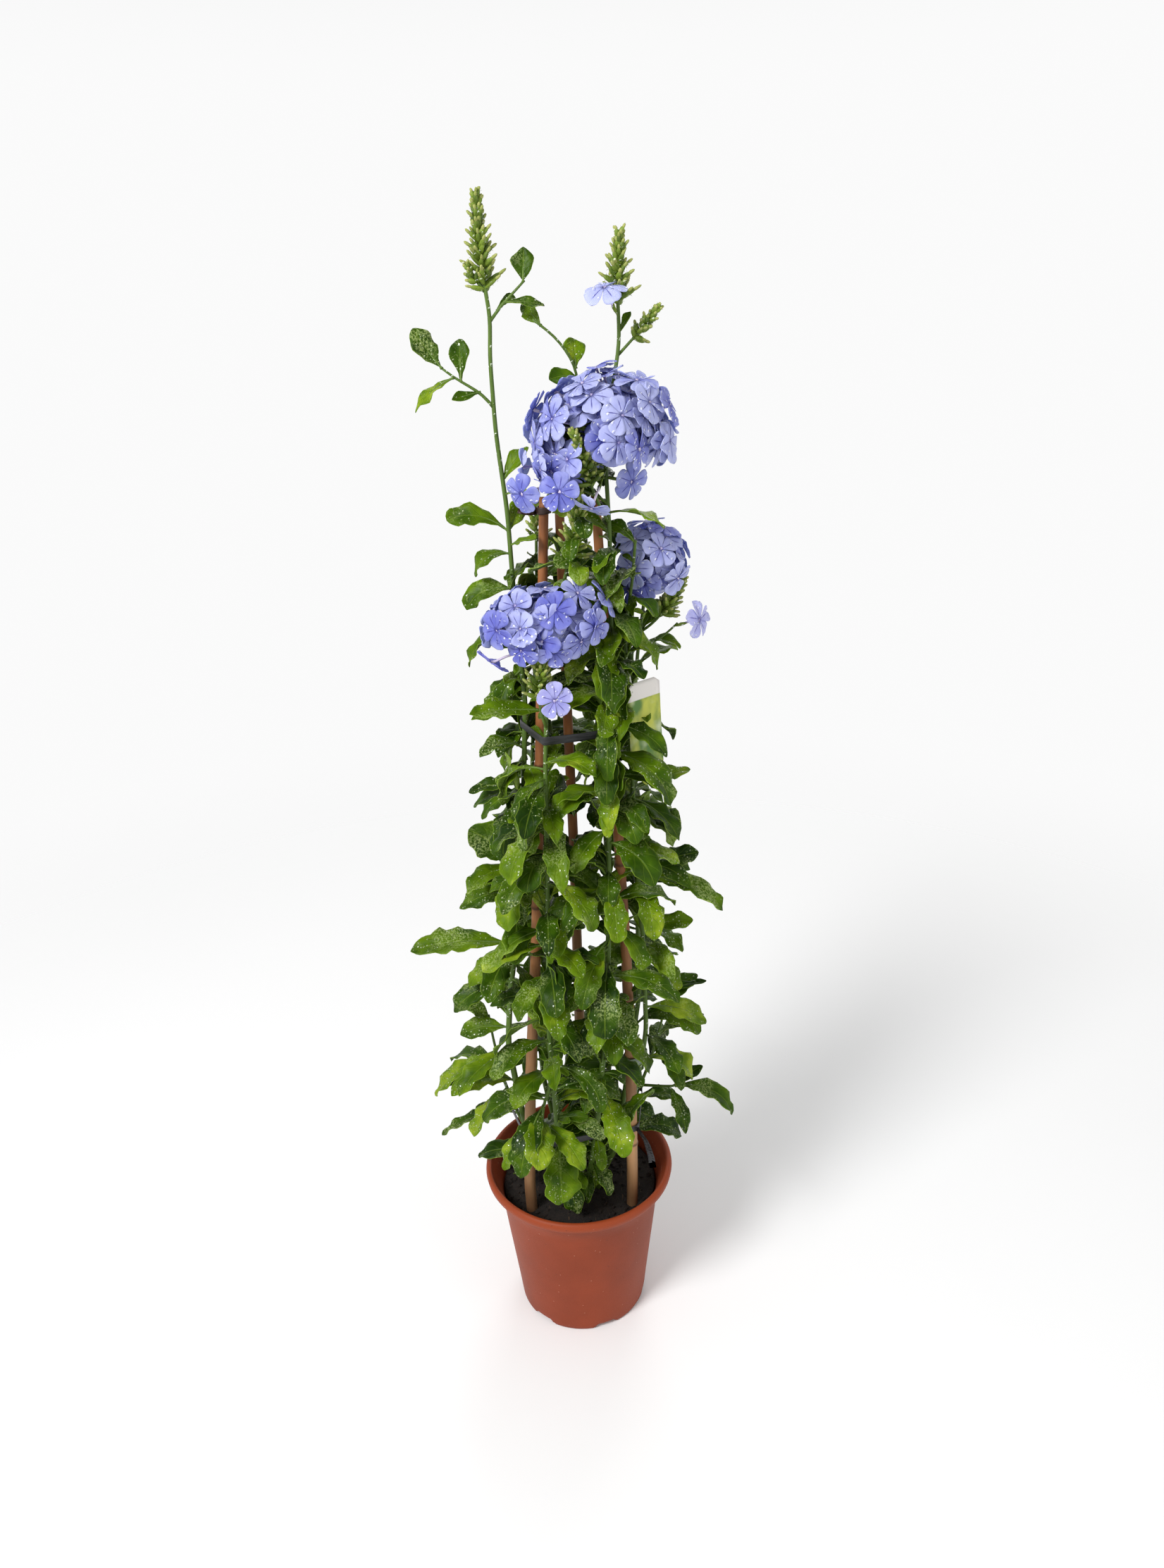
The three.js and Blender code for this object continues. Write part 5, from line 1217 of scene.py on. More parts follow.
# and leaves of the back stems that face the front
for name in ("stem_back_left", "stem_back_right"):
    for i in range(34):
        fillLeaf(name, 205 + i * 14, 7, 0.4, azimuth=dice.between(-150, -30), lift=dice.between(0, 50),
                 droop=dice.between(60, 110), length=dice.between(40, 66), width=dice.between(14, 22),
                 roll=dice.between(-30, 30))
print("with hanging leaves", sum(map(len, leafLists.values())))
for stage in filling["rounds"]:
    for name, height in filling["tops"].items():
        line = stems[name][0]["path"]
        start, end = (distanceAtHeight(line, z) for z in (filling["bottom"], height))
        count = int((end - start) / stage["every"])
        for i in range(count):
            point = pointAlong(line, start + (end - start) * (i + dice.roll() * 0.7) / count)[0]
            azimuth = outwardFrom(point) + dice.between(-1, 1) * stage["spread"]
            length = dice.between(*stage["long"]) * mix(1.0, 0.7, clamp01((point[2] - 200) / 600))
            addLeaf(name, filling["ball"], 7, stage["near"], fitsColumn, root=point, azimuth=azimuth,
                    lift=dice.between(*stage["lift"]), droop=dice.between(*stage["droop"]), length=length,
                    width=length * dice.between(0.27, 0.37),
                    roll=22 * math.cos(math.radians(azimuth)) + dice.between(-30, 30))
    print("filled to", sum(map(len, leafLists.values())), "leaves")

leafForm = {"columns": 6, "thick": 0.45, "start": 0.08, "ripple": 1.8, "groove": 0.4, "scallop": 0.1}


# Half a blade's width: a winged stalk that widens slowly, broadest past the middle, then a blunt tip
def bladeHalf(leaf, share):
    blade = clamp01((share - 0.1) / 0.9)
    peak = mix(0.5, 0.68, leaf["phase"] / 6)
    outline = ((blade / peak) ** peak * ((1 - blade) / (1 - peak)) ** (1 - peak)) ** 1.75
    stalk = 0.8 + 0.05 * leaf["width"] * clamp01(share * 3)
    return max(min(stalk, leaf["width"] * 0.3 * max(0.0, 1 - blade) ** 0.5), leaf["width"] / 2 * outline)


# How far a point of the blade stands out of its plane: fold, waves, ripples, a crowned half and a groove
def bladeRise(leaf, share, out, hand, half):
    swing = math.sin(2 * math.pi * leaf["waves"] * share + leaf["phase"] * hand)
    ripple = math.sin(share * leaf["length"] * 0.36 + leaf["phase"] * 2 + 2 * hand)
    waved = (leaf["wave"] * swing + leafForm["ripple"] * ripple) * out ** 2
    rise = half * math.sin(math.radians(leaf["fold"])) * out ** 1.3
    rise += waved * clamp01(4 * share - 0.8) * clamp01(half / 5)
    rise += 0.06 * half * math.sin(math.pi * out)
    return rise - leafForm["groove"] * (1 - out) ** 4 * clamp01(half / 6)


# A blade is a grid laid along its midrib, with more rows on a longer leaf
def addBlade(bm, uv, toneLayer, leaf, tone):
    form = leafFrame(leaf)
    rows = 7 + int(leaf["length"] / 7)
    made = bmesh.ops.create_grid(bm, x_segments=leafForm["columns"], y_segments=rows, size=1)
    cuts = {}
    for v in made["verts"]:
        x, row = v.co.x, round((v.co.y + 1) / 2 * rows)
        if row not in cuts:
            share = 1 - (1 - leafForm["start"]) * (1 - row / rows) ** 1.5
            cuts[row] = (share, leafSection(leaf, form, share), bladeHalf(leaf, share))
        share, cut, widest = cuts[row]
        hand = -1 if x > 0 else 1
        scallop = math.sin(share * leaf["length"] * 0.5 + leaf["phase"] + hand)
        half = widest * (1 + leafForm["scallop"] * scallop)
        beside = step(cut["middle"], cut["side"], -x * half * math.cos(math.radians(leaf["fold"])))
        point = step(beside, cut["normal"], bladeRise(leaf, share, abs(x), hand, half))
        for loop in v.link_loops:
            loop[uv].uv = ((x + 1) / 2, share)
        v[toneLayer] = tone
        v.co = [c * mm for c in point]
    return form


# A petiole that runs on as the midrib below the blade
def midribRun(leaf, form, tone):
    shares = [0, 0.05, 0.12, 0.2, 0.32, 0.46, 0.62, 0.8]
    thick = mix(0.75, 1.15, clamp01(leaf["length"] / 80))
    points, radii = [], []
    for share in shares:
        cut = leafSection(leaf, form, share)
        below = 0.0 if share < 0.12 else leafForm["groove"] + leafForm["thick"]
        below *= clamp01(share * 4) * clamp01(cut["half"] / 5)
        points.append(step(cut["middle"], cut["normal"], -below))
        radii.append(thick * mix(1.0, 0.28, share) * (1.5 if share == 0 else 1))
    return {"points": points, "radii": radii, "tone": tone}


calyxForm = {"length": 11.0, "ribs": 5, "hairs": 7, "hairLong": 1.5, "hairWide": 0.16}


# A calyx: a ribbed slender cone with a few gland hairs and perhaps a bud, made once and copied
def calyxTemplate(name, radius, bud):
    bm, _, toneLayer = newMesh()
    length, ribs, hairs = calyxForm["length"], calyxForm["ribs"], calyxForm["hairs"]
    body = bmesh.ops.create_cone(bm, cap_ends=True, segments=2 * ribs, radius1=0.35 * radius,
                                 radius2=0.55 * radius, depth=length)
    bmesh.ops.translate(bm, verts=body["verts"], vec=(0, 0, length / 2))
    sides = [e for e in bm.edges if abs(e.verts[0].co.z - e.verts[1].co.z) > length / 2]
    bmesh.ops.subdivide_edges(bm, edges=sides, cuts=3, use_grid_fill=True)
    for v in bm.verts:
        share = v.co.z / length
        swell = (0.6 + 0.5 * math.sin(math.pi * clamp01(share * 1.05)) ** 0.8) * radius
        angle = math.atan2(v.co.y, v.co.x)
        reach = swell * (1 if round(angle / (math.pi / ribs)) % 2 else 0.78) * (0.55 if share > 0.99 else 1)
        v.co.x, v.co.y = reach * math.cos(angle), reach * math.sin(angle)
    if bud:
        tip = bmesh.ops.create_uvsphere(bm, u_segments=6, v_segments=4, radius=0.62 * radius)["verts"]
        slender = Matrix.Diagonal((1, 1, 2.6, 1))
        bmesh.ops.transform(bm, matrix=Matrix.Translation((0, 0, length)) @ slender, verts=tip)
        for v in tip:
            v[toneLayer] = 1.0
            for face in v.link_faces:
                face.material_index = 1
    for i in range(hairs):
        hair = bmesh.ops.create_cone(bm, cap_ends=True, segments=3, radius1=calyxForm["hairWide"],
                                     radius2=0.02, depth=calyxForm["hairLong"])
        around = Matrix.Rotation(math.radians(i * golden), 4, "Z")
        outward = Matrix.Translation((radius * 0.85 + 0.6, 0, length * (0.25 + 0.7 * i / hairs)))
        tilted = Matrix.Rotation(math.radians(72), 4, "Y")
        bmesh.ops.transform(bm, matrix=around @ outward @ tilted, verts=hair["verts"])
    bmesh.ops.scale(bm, verts=bm.verts[:], vec=(mm, mm, mm))
    mesh = bpy.data.meshes.new(name)
    bm.to_mesh(mesh)
    bm.free()
    return mesh


closedCalyx = calyxTemplate("closedCalyx", 2.05, True)
openCalyx = calyxTemplate("openCalyx", 1.4, False)


# Puts a copy of a template with its foot at a point, along a direction
def addCopy(bm, template, root, way, wide, long, tone, spin):
    side = squareTo((0, 0, 1) if abs(way[2]) < 0.9 else (1, 0, 0), way)
    turn = Matrix((side, cross(way, side), way)).transposed().to_4x4()
    sized = Matrix.Rotation(spin, 4, "Z") @ Matrix.Diagonal((wide, wide, long, 1))
    copy = template.copy()
    copy.transform(Matrix.Translation([c * mm for c in root]) @ turn @ sized)
    tones = [0.0] * len(copy.vertices)
    copy.attributes["tone"].data.foreach_get("value", tones)
    copy.attributes["tone"].data.foreach_set("value", [tone + 0.2 * t for t in tones])
    bm.from_mesh(copy)
    bpy.data.meshes.remove(copy)


# Young and small leaves are paler, and leaves at the back and at the foot are darker as painted shade
def leafTone(leaf):
    height = leaf["root"][2]
    young = clamp01((height - 620) / 250)
    small = clamp01((34 - leaf["length"]) / 20)
    # painted shade: darker at the back of the column and at its foot
    inside = clamp01((leaf["root"][1] + 10) / 60)
    low = clamp01((235 - height) / 40)
    return clamp01(dice.between(0.0, 0.95) ** 1.2 + 0.06 * young + 0.12 * small - 0.25 * inside - 0.3 * low)


def makeLeaves(name, branches):
    blades, uv, toneLayer = newMesh()
    twigs, _, _ = newMesh()
    runs, veins = [], []
    for branch in branches:
        points = smoothLine(branch["path"])
        radii = [mix(*branch["radius"], i / (len(points) - 1)) * 0.97 for i in range(len(points))]
        runs.append({"points": points, "radii": radii, "tone": 0.45})
    for leaf in leafLists[name]:
        tone = leafTone(leaf)
        form = addBlade(blades, uv, toneLayer, leaf, tone)
        veins.append(midribRun(leaf, form, 0.4 + 0.6 * tone))
    addTubes(twigs, runs, 10)
    addTubes(twigs, veins)
    closeTubes(twigs)
    bmesh.ops.remove_doubles(blades, verts=blades.verts[:], dist=0.000002)
    addPiece(name + "_leaves", blades, [leafBlade, leafUnder], name, leafForm["thick"], True)
    addPiece(name + "_twigs", twigs, [stemGreen], name)


# The spikes' buds: those that the CAD has, and more between them
def makeBuds(name, branches):
    buds, _, _ = newMesh()
    whole = calyxForm["length"] * 1.12  # with its bud
    for i, bract in enumerate(bractLists[name]):
        long = bract["length"] / whole * mix(1.0, 0.75, bract["share"])
        wide = mix(1.0, 0.8, bract["share"])
        addCopy(buds, closedCalyx, bract["root"], bract["way"], wide, long, dice.between(0.2, 0.9), i)
    for branch in branches:
        if "spike" not in branch:
            continue
        line = branch["path"]
        length, reach, count = branch["spike"]
        bushy = branch.get("bushy", 1.0)
        more = int(count * 2.1 * bushy)
        for i in range(more):
            share = (i + dice.roll()) / more
            point, tangent = pointAlong(line, lineLength(line) - length * (1 - share) * 1.05)
            steep = mix(0.5, 2.2, share) + dice.between(-0.25, 0.25)
            way = unit(step(spiralOut(tangent, i * golden + 70), tangent, steep))
            long = reach * mix(0.95, 0.5, share) * dice.between(0.8, 1.05) * bushy / whole
            wide = dice.between(0.8, 1.05)
            addCopy(buds, closedCalyx, point, way, wide, long, dice.between(0.0, 1.0), i)
    addPiece(name + "_buds", buds, [budGreen, budTip], name)


for name, branches in stems.items():
    makeLeaves(name, branches)
    if bractLists[name]:
        makeBuds(name, branches)
print("leafy stems made")

# More florets fill the gaps of the heads
for name, head in heads.items():
    for face, towards in head.get("below", []):
        addFloret(name, face, towards, 0.1, 0.3, 1.0)
    spiralOfFlorets(name, head["more"], head["turn"] + 50, (0.6, head["shell"]), 0.35, 1.2, 1.7)
    print(name, "has", len(floretLists[name]), "florets")

petalForm = {"columns": 6, "rows": 7, "thick": 0.25}


# Five petals: a narrow claw and a broad rounded blade, notched, cupped and bent back
def addPetals(bm, uv, toneLayer, floret, tone):
    normal, side, up = floretFrame(floret)
    for petal in range(5):
        length = petalLength * floret["size"] * floret.get("scale", 1.0) * dice.between(0.94, 1.03)
        angle = math.radians(floret["spin"] + petal * 72 + dice.between(-5, 5))
        tilt, droop = dice.between(-0.25, 0.25), dice.between(0.4, 1.7)
        cup = dice.between(-0.2, 0.12)
        petalTone = clamp01(tone + dice.between(-0.15, 0.15))
        outward = step(tuple(c * math.cos(angle) for c in side), up, math.sin(angle))
        sideways = cross(normal, outward)
        made = bmesh.ops.create_grid(bm, x_segments=petalForm["columns"],
                                     y_segments=petalForm["rows"], size=1)
        for v in made["verts"]:
            x, share = v.co.x, (v.co.y + 1) / 2
            share = 1 - (1 - share) ** 1.8
            half = length * max(0.05, 1.02 * share ** 1.1 * (1 - share) ** 0.38)
            if share > 0.999:
                half = length * 0.13
            notch = 0.03 * length * (1 - abs(x)) * clamp01((share - 0.9) * 10)
            reach = length * share * (1 - 0.05 * x * x * share) - notch + 0.6
            bend = -floret["bend"] * 3.2 * droop * share ** 2.2 - cup * half * x * x * 2 + tilt * half * x
            wave = 0.45 * math.sin(5 * share + 3 * x + floret["spin"] + petal) * share
            point = step(step(step(floret["face"], outward, reach), sideways, -x * half), normal, bend + wave)
            for loop in v.link_loops:
                loop[uv].uv = ((x + 1) / 2, share)
            v[toneLayer] = petalTone
            v.co = [c * mm for c in point]


# A slender tube from the calyx to the throat, bowed a little and flared at its mouth
def tubeRun(floret, start, tone):
    normal = unit(floret["towards"])
    face = step(floret["face"], normal, -0.2)
    points, radii = [], []
    for i in range(8):
        share = i / 7
        back = step(face, normal, -math.dist(start, face) * (1 - share))
        points.append(lerp(lerp(start, face, share), back, 0.35 * share * share * (1 - share) * 4))
        radii.append(mix(0.75, 0.95, share) + (0.55 if i == 7 else 0.0))
    return {"points": points, "radii": radii, "tone": tone}


def isShadedLow(name, floret):  # florets low on the heads get darker petals: painted shade
    return name in heads and heads[name]["centre"][2] - floret["face"][2] > heads[name]["shadedBelow"]


def makeFlowers(name, florets):
    petals, uv, toneLayer = newMesh()
    tubes, _, _ = newMesh()
    calyces, _, _ = newMesh()
    runs, stalks = [], []
    # painted light: the top head's petals paler, the front head's darker
    headLightShift = heads.get(name, {}).get("pale", 0.0)
    for floret in florets:
        first = len(petals.faces)
        addPetals(petals, uv, toneLayer, floret, dice.between(0.0, 1.0) + headLightShift)
        # painted shade: the florets low on a head get the darker petals
        if isShadedLow(name, floret):
            for face in list(petals.faces)[first:]:
                face.material_index = 1
        length = math.dist(floret["root"], floret["face"])
        way = unit(minus(floret["face"], floret["root"]))
        foot = step(floret["root"], way, max(0.0, min(length - 24, length * 0.35)))
        runs.append(tubeRun(floret, step(foot, way, 2), dice.between(0.3, 0.9)))
        if math.dist(foot, floret["root"]) > 1:
            stalk = [floret["root"], lerp(floret["root"], foot, 0.5), step(foot, way, 1)]
            stalks.append({"points": stalk, "radii": [0.8, 0.7, 0.7], "tone": 0.5})
        long = min(1.0, length * 0.5 / calyxForm["length"])
        addCopy(calyces, openCalyx, foot, way, 0.9, long, dice.between(0.1, 0.8), floret["spin"])
    addTubes(tubes, runs)
    closeTubes(tubes)
    if stalks:
        first = len(calyces.verts)
        addTubes(calyces, stalks)
        closeTubes(calyces, first)
    petal = petalLilac if name in ("flower_low", "flower_side") else petalBlue
    addPiece(name + "_petals", petals, [petal, petalShaded], name, petalForm["thick"])
    addPiece(name + "_tubes", tubes, [corollaTube], name)
    addPiece(name + "_calyces", calyces, [budGreen, budTip], name)


for name, florets in floretLists.items():
    makeFlowers(name, florets)
print("flowers made")


# The pot is a spun profile: raised floor, foot ring, tapered wall, flared shoulder and rolled rim
potForm = {
    "profile": [
        (0, 1.6), (47, 1.6), (50, 0), (55, 0), (57.4, 0.6), (58.2, 2.4), (58.6, 6), (59.1, 10), (59.5, 14),
        (60.6, 24), (62.7, 42), (64.8, 60), (67.2, 80), (69.6, 101), (71.6, 119), (72.4, 123.5),
        (75.6, 134.6), (76.9, 136.4), (80.2, 139.2), (80.9, 139.0), (81.5, 139.6), (82.2, 139.6),
        (83.2, 140.6), (84.4, 142.4), (85, 145.4), (84.7, 147.6), (83.4, 149.4), (81.6, 149.9),
        (80.4, 149.4), (79.2, 146.4), (77.5, 143), (73.8, 136), (70.6, 124), (70.2, 122), (66.3, 86),
        (60.6, 34), (56.4, 3.4), (54, 2.6), (0, 2.6),
    ],
    "turns": 144, "notches": 6, "firstNotch": -70, "notchHalf": 11.5, "notchHigh": 4.4,
}


def smooth01(value):
    value = clamp01(value)
    return value * value * (3 - 2 * value)


def spunMesh(profile, turns):  # a profile of radius and height, spun about the upright axis
    bm, _, _ = newMesh()
    verts = [bm.verts.new((x * mm, 0, z * mm)) for x, z in profile]
    edges = [bm.edges.new(pair) for pair in zip(verts, verts[1:])]
    bmesh.ops.spin(bm, geom=verts + edges, cent=(0, 0, 0), axis=(0, 0, 1), dvec=(0, 0, 0), angle=2 * math.pi,
                   steps=turns, use_merge=True, use_duplicate=False)
    bmesh.ops.remove_doubles(bm, verts=bm.verts[:], dist=0.00001)
    return bm


# The drain notches lift the foot ring and the wall above it
def makePot():
    bm = spunMesh(potForm["profile"], potForm["turns"])
    apart = 360 / potForm["notches"]
    for v in bm.verts:
        reach, z = math.hypot(v.co.x, v.co.y) / mm, v.co.z / mm
        if 48 < reach < 61 and z < 12:
            angle = math.degrees(math.atan2(v.co.y, v.co.x)) - potForm["firstNotch"]
            away = math.radians(abs((angle + apart / 2) % apart - apart / 2)) * 58
            lift = smooth01((potForm["notchHalf"] - away) / 3) * potForm["notchHigh"]
            inside = 1.6 if z > 2.5 and reach < 57 else 0.3 * z
            v.co.z = max(z, lift + inside) * mm
    bmesh.ops.recalc_face_normals(bm, faces=bm.faces[:])
    addPiece("pot_shell", bm, [potPlastic], "pot")


makePot()

soilForm = {
    "profile": [(0, 6.5), (48, 6.5), (54.6, 13), (68.6, 120), (69.2, 126)],
    "rings": 26, "turns": 96, "top": 128.2, "highest": 131.5,
    "crumbs": 360, "crumbSize": (0.8, 2.6), "reach": 66,
}


def soilHeightAt(x, y):
    rough = noise.noise(Vector((x * 0.09, y * 0.09, 3.0))) * 1.6
    return soilForm["top"] + rough + noise.noise(Vector((x * 0.3, y * 0.3, 7.0))) * 0.9


def makeSoil():
    reach, level = soilForm["profile"][-1][0], soilForm["top"] - 0.2
    rings = [(reach * (1 - (i + 1) / soilForm["rings"]), level) for i in range(soilForm["rings"])]
    bm = spunMesh(soilForm["profile"] + rings, soilForm["turns"])
    for v in bm.verts:
        if v.co.z > 127 * mm:
            v.co.z = min(soilHeightAt(v.co.x / mm, v.co.y / mm), soilForm["highest"]) * mm
    bmesh.ops.recalc_face_normals(bm, faces=bm.faces[:])
    addPiece("soil_bed", bm, [soilMix], "soil")
    bits, _, _ = newMesh()
    for _ in range(soilForm["crumbs"]):
        angle, out = dice.between(0, 2 * math.pi), soilForm["reach"] * math.sqrt(dice.roll())
        x, y, size = out * math.cos(angle), out * math.sin(angle), dice.between(*soilForm["crumbSize"])
        made = bmesh.ops.create_icosphere(bits, subdivisions=1, radius=size * mm)
        turn = Matrix.Rotation(dice.between(0, 6), 4, "X") @ Matrix.Rotation(dice.between(0, 6), 4, "Z")
        stretch = Matrix.Diagonal((dice.between(0.7, 1.5), dice.between(0.6, 1.1), dice.between(0.5, 0.9), 1))
        place = Matrix.Translation((x * mm, y * mm, (soilHeightAt(x, y) + size * 0.2) * mm)) @ turn @ stretch
        bmesh.ops.transform(bits, matrix=place, verts=made["verts"])
    addPiece("soil_bits", bits, [soilMix], "soil")


makeSoil()

# Canes thicken at their nodes, and their tops are open
caneForm = {"rings": 90, "sides": 16, "swell": 0.75, "nodeRings": (-3, -1.4, -0.5, 0.3, 1.2, 3),
            "wall": 1.3, "hollow": 7}


def makeCane(name):
    line = smoothLine(canes[name]["path"], 6, 2)
    length = lineLength(line)
    nodes = [distanceAtHeight(line, height) for height in canes[name]["nodes"]]
    even = [length * i / caneForm["rings"] for i in range(caneForm["rings"] + 1)]
    stops = sorted({*even, *[node + away for node in nodes for away in caneForm["nodeRings"]]})

    def nodeShare(stop, reach):  # 1 at a node to 0 beyond its reach
        return clamp01(1 - min(abs(stop - node) for node in nodes) / reach)

    points = [pointAlong(line, stop)[0] for stop in stops]
    radii = [mix(*caneRadii, stop / length) - 0.25 + caneForm["swell"] * nodeShare(stop, 2.4)
             for stop in stops]
    bm, _, toneLayer = newMesh()
    addTubes(bm, [{"points": points, "radii": radii, "tone": 0.0}], caneForm["sides"])
    closeTubes(bm)
    for v in bm.verts:
        v[toneLayer] = nodeShare(distanceAtHeight(line, v.co.z / mm), 3.2)
    highest = max(v.co.z for v in bm.verts)
    cap = [f for f in bm.faces if f.normal.z > 0.8 and f.calc_center_median().z > highest - 2 * mm]
    top = bmesh.ops.dissolve_faces(bm, faces=cap)["region"][0]
    bmesh.ops.inset_region(bm, faces=[top], thickness=caneForm["wall"] * mm, use_even_offset=True)
    bmesh.ops.translate(bm, verts=top.verts[:], vec=(0, 0, -caneForm["hollow"] * mm))
    addPiece(name + "_culm", bm, [bamboo], name)


for name in canes:
    makeCane(name)
print("pot, soil and canes made")


tapeForm = {"half": 0.3, "every": 4, "wobble": 0.8}


# A tie is a flat band round its loop, some with a loose tail
def makeBand(name, band, material):
    loop = bandLoop(band)
    half = tapeForm["half"]
    curve = bpy.data.curves.new(name, "CURVE")
    curve.dimensions, curve.fill_mode = "2D", "NONE"
    curve.extrude, curve.bevel_depth, curve.bevel_resolution = (band["tall"] / 2 - half) * mm, half * mm, 1
    spline = curve.splines.new("POLY")
    corners = []
    for p, after in zip(loop, loop[1:] + loop[:1]):
        count = max(1, round(math.dist(p, after) / tapeForm["every"]))
        corners += [lerp(p, after, k / count) for k in range(count)]
    spline.points.add(len(corners) - 1)
    for end, corner in zip(spline.points, corners):
        end.co = (corner[0] * mm, corner[1] * mm, 0, 1)
    spline.use_cyclic_u = True
    mesh = curveMesh(curve)
    bm, _, _ = newMesh()
    bm.from_mesh(mesh)
    bpy.data.meshes.remove(mesh)
    for v in bm.verts:
        wobble = noise.noise(v.co * 60 + Vector((band["height"], 0, 0))) * tapeForm["wobble"]
        v.co.z += (band["height"] + wobble) * mm
    if "tail" in band:
        addTail(bm, band, min(loop, key=lambda p: math.dist(p, band["tail"][0][:2])))
    addPiece(name + "_tape", bm, [material], name)


def addTail(bm, band, start):
    path = smoothLine([(*start, band["height"]), *band["tail"]], 3, 1)
    made = bmesh.ops.create_grid(bm, x_segments=2, y_segments=len(path) - 1, size=1)
    for v in made["verts"]:
        row = round((v.co.y + 1) / 2 * (len(path) - 1))
        way = unit(minus(path[min(len(path) - 1, row + 1)], path[max(0, row - 1)]))
        tall = cross(way, unit(cross((0, 0, 1), way)))
        v.co = [c * mm for c in step(path[row], tall, v.co.x * (band["tall"] / 2 - 0.2))]
    tail = list({f for v in made["verts"] for f in v.link_faces})
    bmesh.ops.solidify(bm, geom=tail, thickness=2 * tapeForm["half"] * mm)
    bmesh.ops.dissolve_degenerate(bm, dist=0.000001, edges=bm.edges[:])


tapes = {"tie_low": tapeBlack, "tie_high": tapeBlack, "tie_middle": tapeGreen, "tie_top": tapeBrown}
for name, material in tapes.items():
    makeBand(name, bands[name], material)

# The card hangs from a corner, narrows at its foot and has rounded top corners
tagForm = {"columns": 8, "rows": 22, "round": 5, "foot": 14, "footHalf": 3, "ringSteps": 24, "strap": 0.8}


def makeTag():
    bm, uv, _ = newMesh()
    wide, tall, rounded, foot = tag["wide"], tag["tall"], tagForm["round"], tagForm["foot"]
    out = cross(tagAlong, tagDown)
    made = bmesh.ops.create_grid(bm, x_segments=tagForm["columns"], y_segments=tagForm["rows"], size=1)
    for v in made["verts"]:
        x, share = (v.co.x + 1) / 2, (1 - v.co.y) / 2
        down = share * tall
        half = mix(wide / 2, tagForm["footHalf"], clamp01((down - (tall - foot)) / foot))
        if down < rounded:
            half = wide / 2 - rounded * (1 - math.sqrt(max(0.0, 1 - (1 - down / rounded) ** 2)))
        curl = 0.35 * math.sin(share * 5.0) - 0.25 * ((x - 0.5) * 2) ** 2
        point = step(step(tag["corner"], tagAlong, wide / 2 + (x - 0.5) * 2 * half), tagDown, down)
        for loop in v.link_loops:
            loop[uv].uv = (x, share)
        v.co = [c * mm for c in step(point, out, 0.35 + curl)]
    addPiece("tag_card", bm, [tagCard], "tag", tag["thick"])
    ring, _, _ = newMesh()
    line = stems[tag["stem"]][0]
    reach = mix(*line["radius"], distanceAtHeight(line["path"], tag["ringHeight"]) / lineLength(line["path"]))
    side = squareTo((0, 1, 0), ringTangent)
    other = cross(ringTangent, side)
    radius = reach + bandGap + tag["ring"] / 2
    points = []
    for k in range(tagForm["ringSteps"] + 1):
        turn = 2 * math.pi * k / tagForm["ringSteps"]
        points.append(step(step(ringCentre, side, radius * math.cos(turn)), other, radius * math.sin(turn)))
    end = step(step(tag["corner"], tagAlong, tag["strapTo"][0]), tagDown, tag["strapTo"][1])
    away = squareTo(minus(end, ringCentre), ringTangent)
    first = step(ringCentre, away, radius)
    strap = smoothLine([first, step(first, away, 3), step(end, out, 0.4)], 2, 3)
    addTubes(ring, [{"points": points, "radii": [0.75] * len(points), "tone": 0.5},
                    {"points": strap, "radii": [tagForm["strap"]] * len(strap), "tone": 0.5}], 8)
    closeTubes(ring)
    addPiece("tag_ring", ring, [tagRing], "tag")


makeTag()
print("ties and tag made")


# A pale floor that fades out, soft light and the camera
def floorLook(s, place):
    away = s.node("VectorMath", {"operation": "LENGTH"}, {0: place}, "Value")
    return {
        "Base Color": s.tint(s.noise(place, 1.5, 3.0), colour(0.95, 0.95, 0.95), colour(0.97, 0.97, 0.97)),
        "Roughness": 0.75,
        "Alpha": away.ramp(0.35, 1.6, 1.0, 0.0),
    }


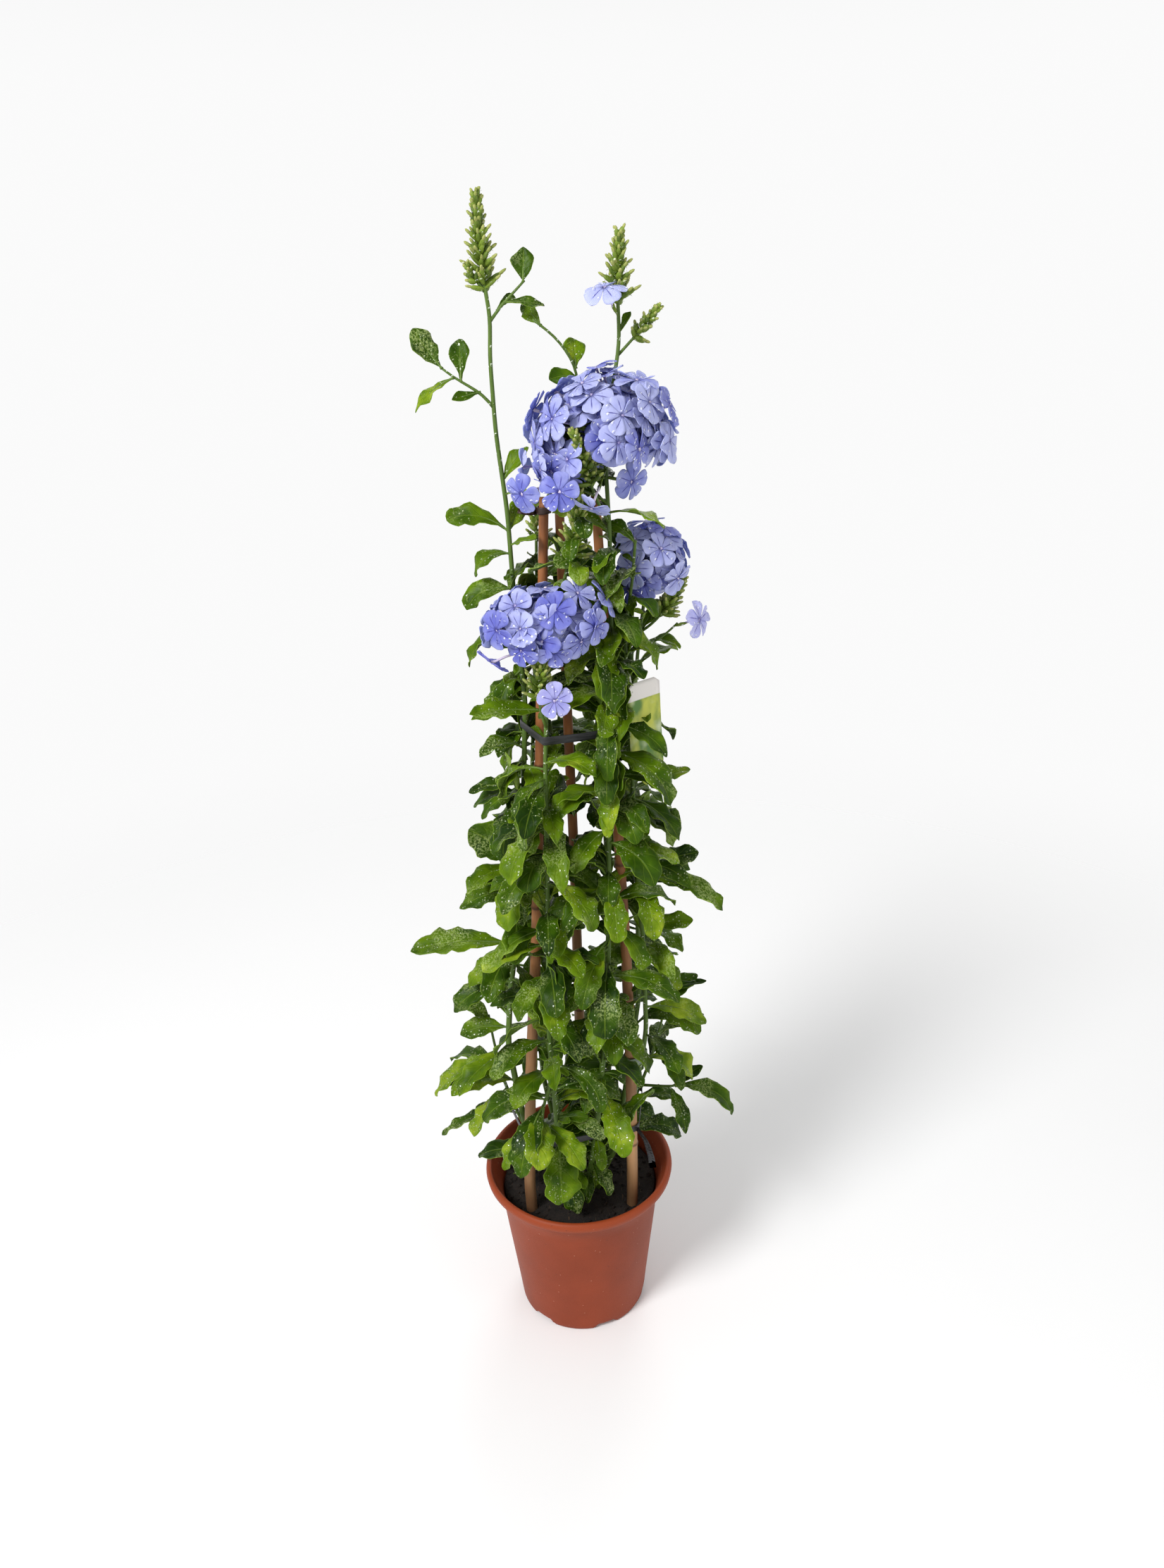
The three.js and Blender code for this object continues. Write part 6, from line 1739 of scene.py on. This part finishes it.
def makeStage():
    bm, _, _ = newMesh()
    bmesh.ops.create_circle(bm, cap_ends=True, segments=64, radius=1.7)
    mesh = bpy.data.meshes.new("floor")
    bm.to_mesh(mesh)
    bm.free()
    mesh.materials.append(makeMaterial("paleFloor", floorLook))
    floor = bpy.data.objects.new("floor", mesh)
    bpy.context.scene.collection.objects.link(floor)
    world = bpy.data.worlds.new("paleWorld")
    world.use_nodes = True
    world.node_tree.nodes.clear()
    sky = Shade(world.node_tree)
    rise = sky.part(sky.node("TexCoord", {}, {}, "Generated"), 2)
    brightness = rise.ramp(0.15, 0.7, 0.96, 0.4)
    light = sky.node("Background", {}, {"Color": (1.0, 1.0, 1.0), "Strength": brightness})
    sky.node("OutputWorld", {}, {"Surface": light})
    bpy.context.scene.world = world
    bpy.context.scene.view_settings.view_transform = "Standard"


def addLamp(name, place, towards, size, power):
    light = bpy.data.lights.new(name, "AREA")
    light.shape, light.size, light.energy = "DISK", size, power
    lamp = bpy.data.objects.new(name, light)
    lamp.location = place
    lamp.rotation_euler = (Vector(towards) - Vector(place)).to_track_quat("-Z", "Y").to_euler()
    bpy.context.scene.collection.objects.link(lamp)


makeStage()
addLamp("key", (-1.3, -1.5, 2.2), (0, 0, 0.55), 0.9, 62)
addLamp("fill", (1.8, -1.2, 1.2), (0, 0, 0.5), 1.6, 6)
addLamp("rim", (0.4, 1.8, 1.8), (0, 0, 0.6), 1.2, 12)

# The photograph's view: camera above and in front of the plant, tilted down and rolled a little
view = {"down": 22.8, "roll": -1.95, "focalPixels": 1607, "longSide": 2226}
down, roll = math.radians(view["down"]), math.radians(view["roll"])
forward, above = Vector((0, math.cos(down), -math.sin(down))), Vector((0, math.sin(down), math.cos(down)))
right = math.cos(roll) * Vector((1, 0, 0)) + math.sin(roll) * above
top = -math.sin(roll) * Vector((1, 0, 0)) + math.cos(roll) * above
camera = bpy.data.objects.new("camera", bpy.data.cameras.new("camera"))
camera.data.sensor_width = 36
camera.data.lens = 36 * view["focalPixels"] / view["longSide"]
camera.data.clip_start, camera.data.clip_end = 0.05, 50
facing = Matrix((right, top, -forward)).transposed().to_4x4()
camera.matrix_world = Matrix.Translation([c * mm for c in eye]) @ facing
bpy.context.scene.collection.objects.link(camera)
bpy.context.scene.camera = camera

print("scene finished")
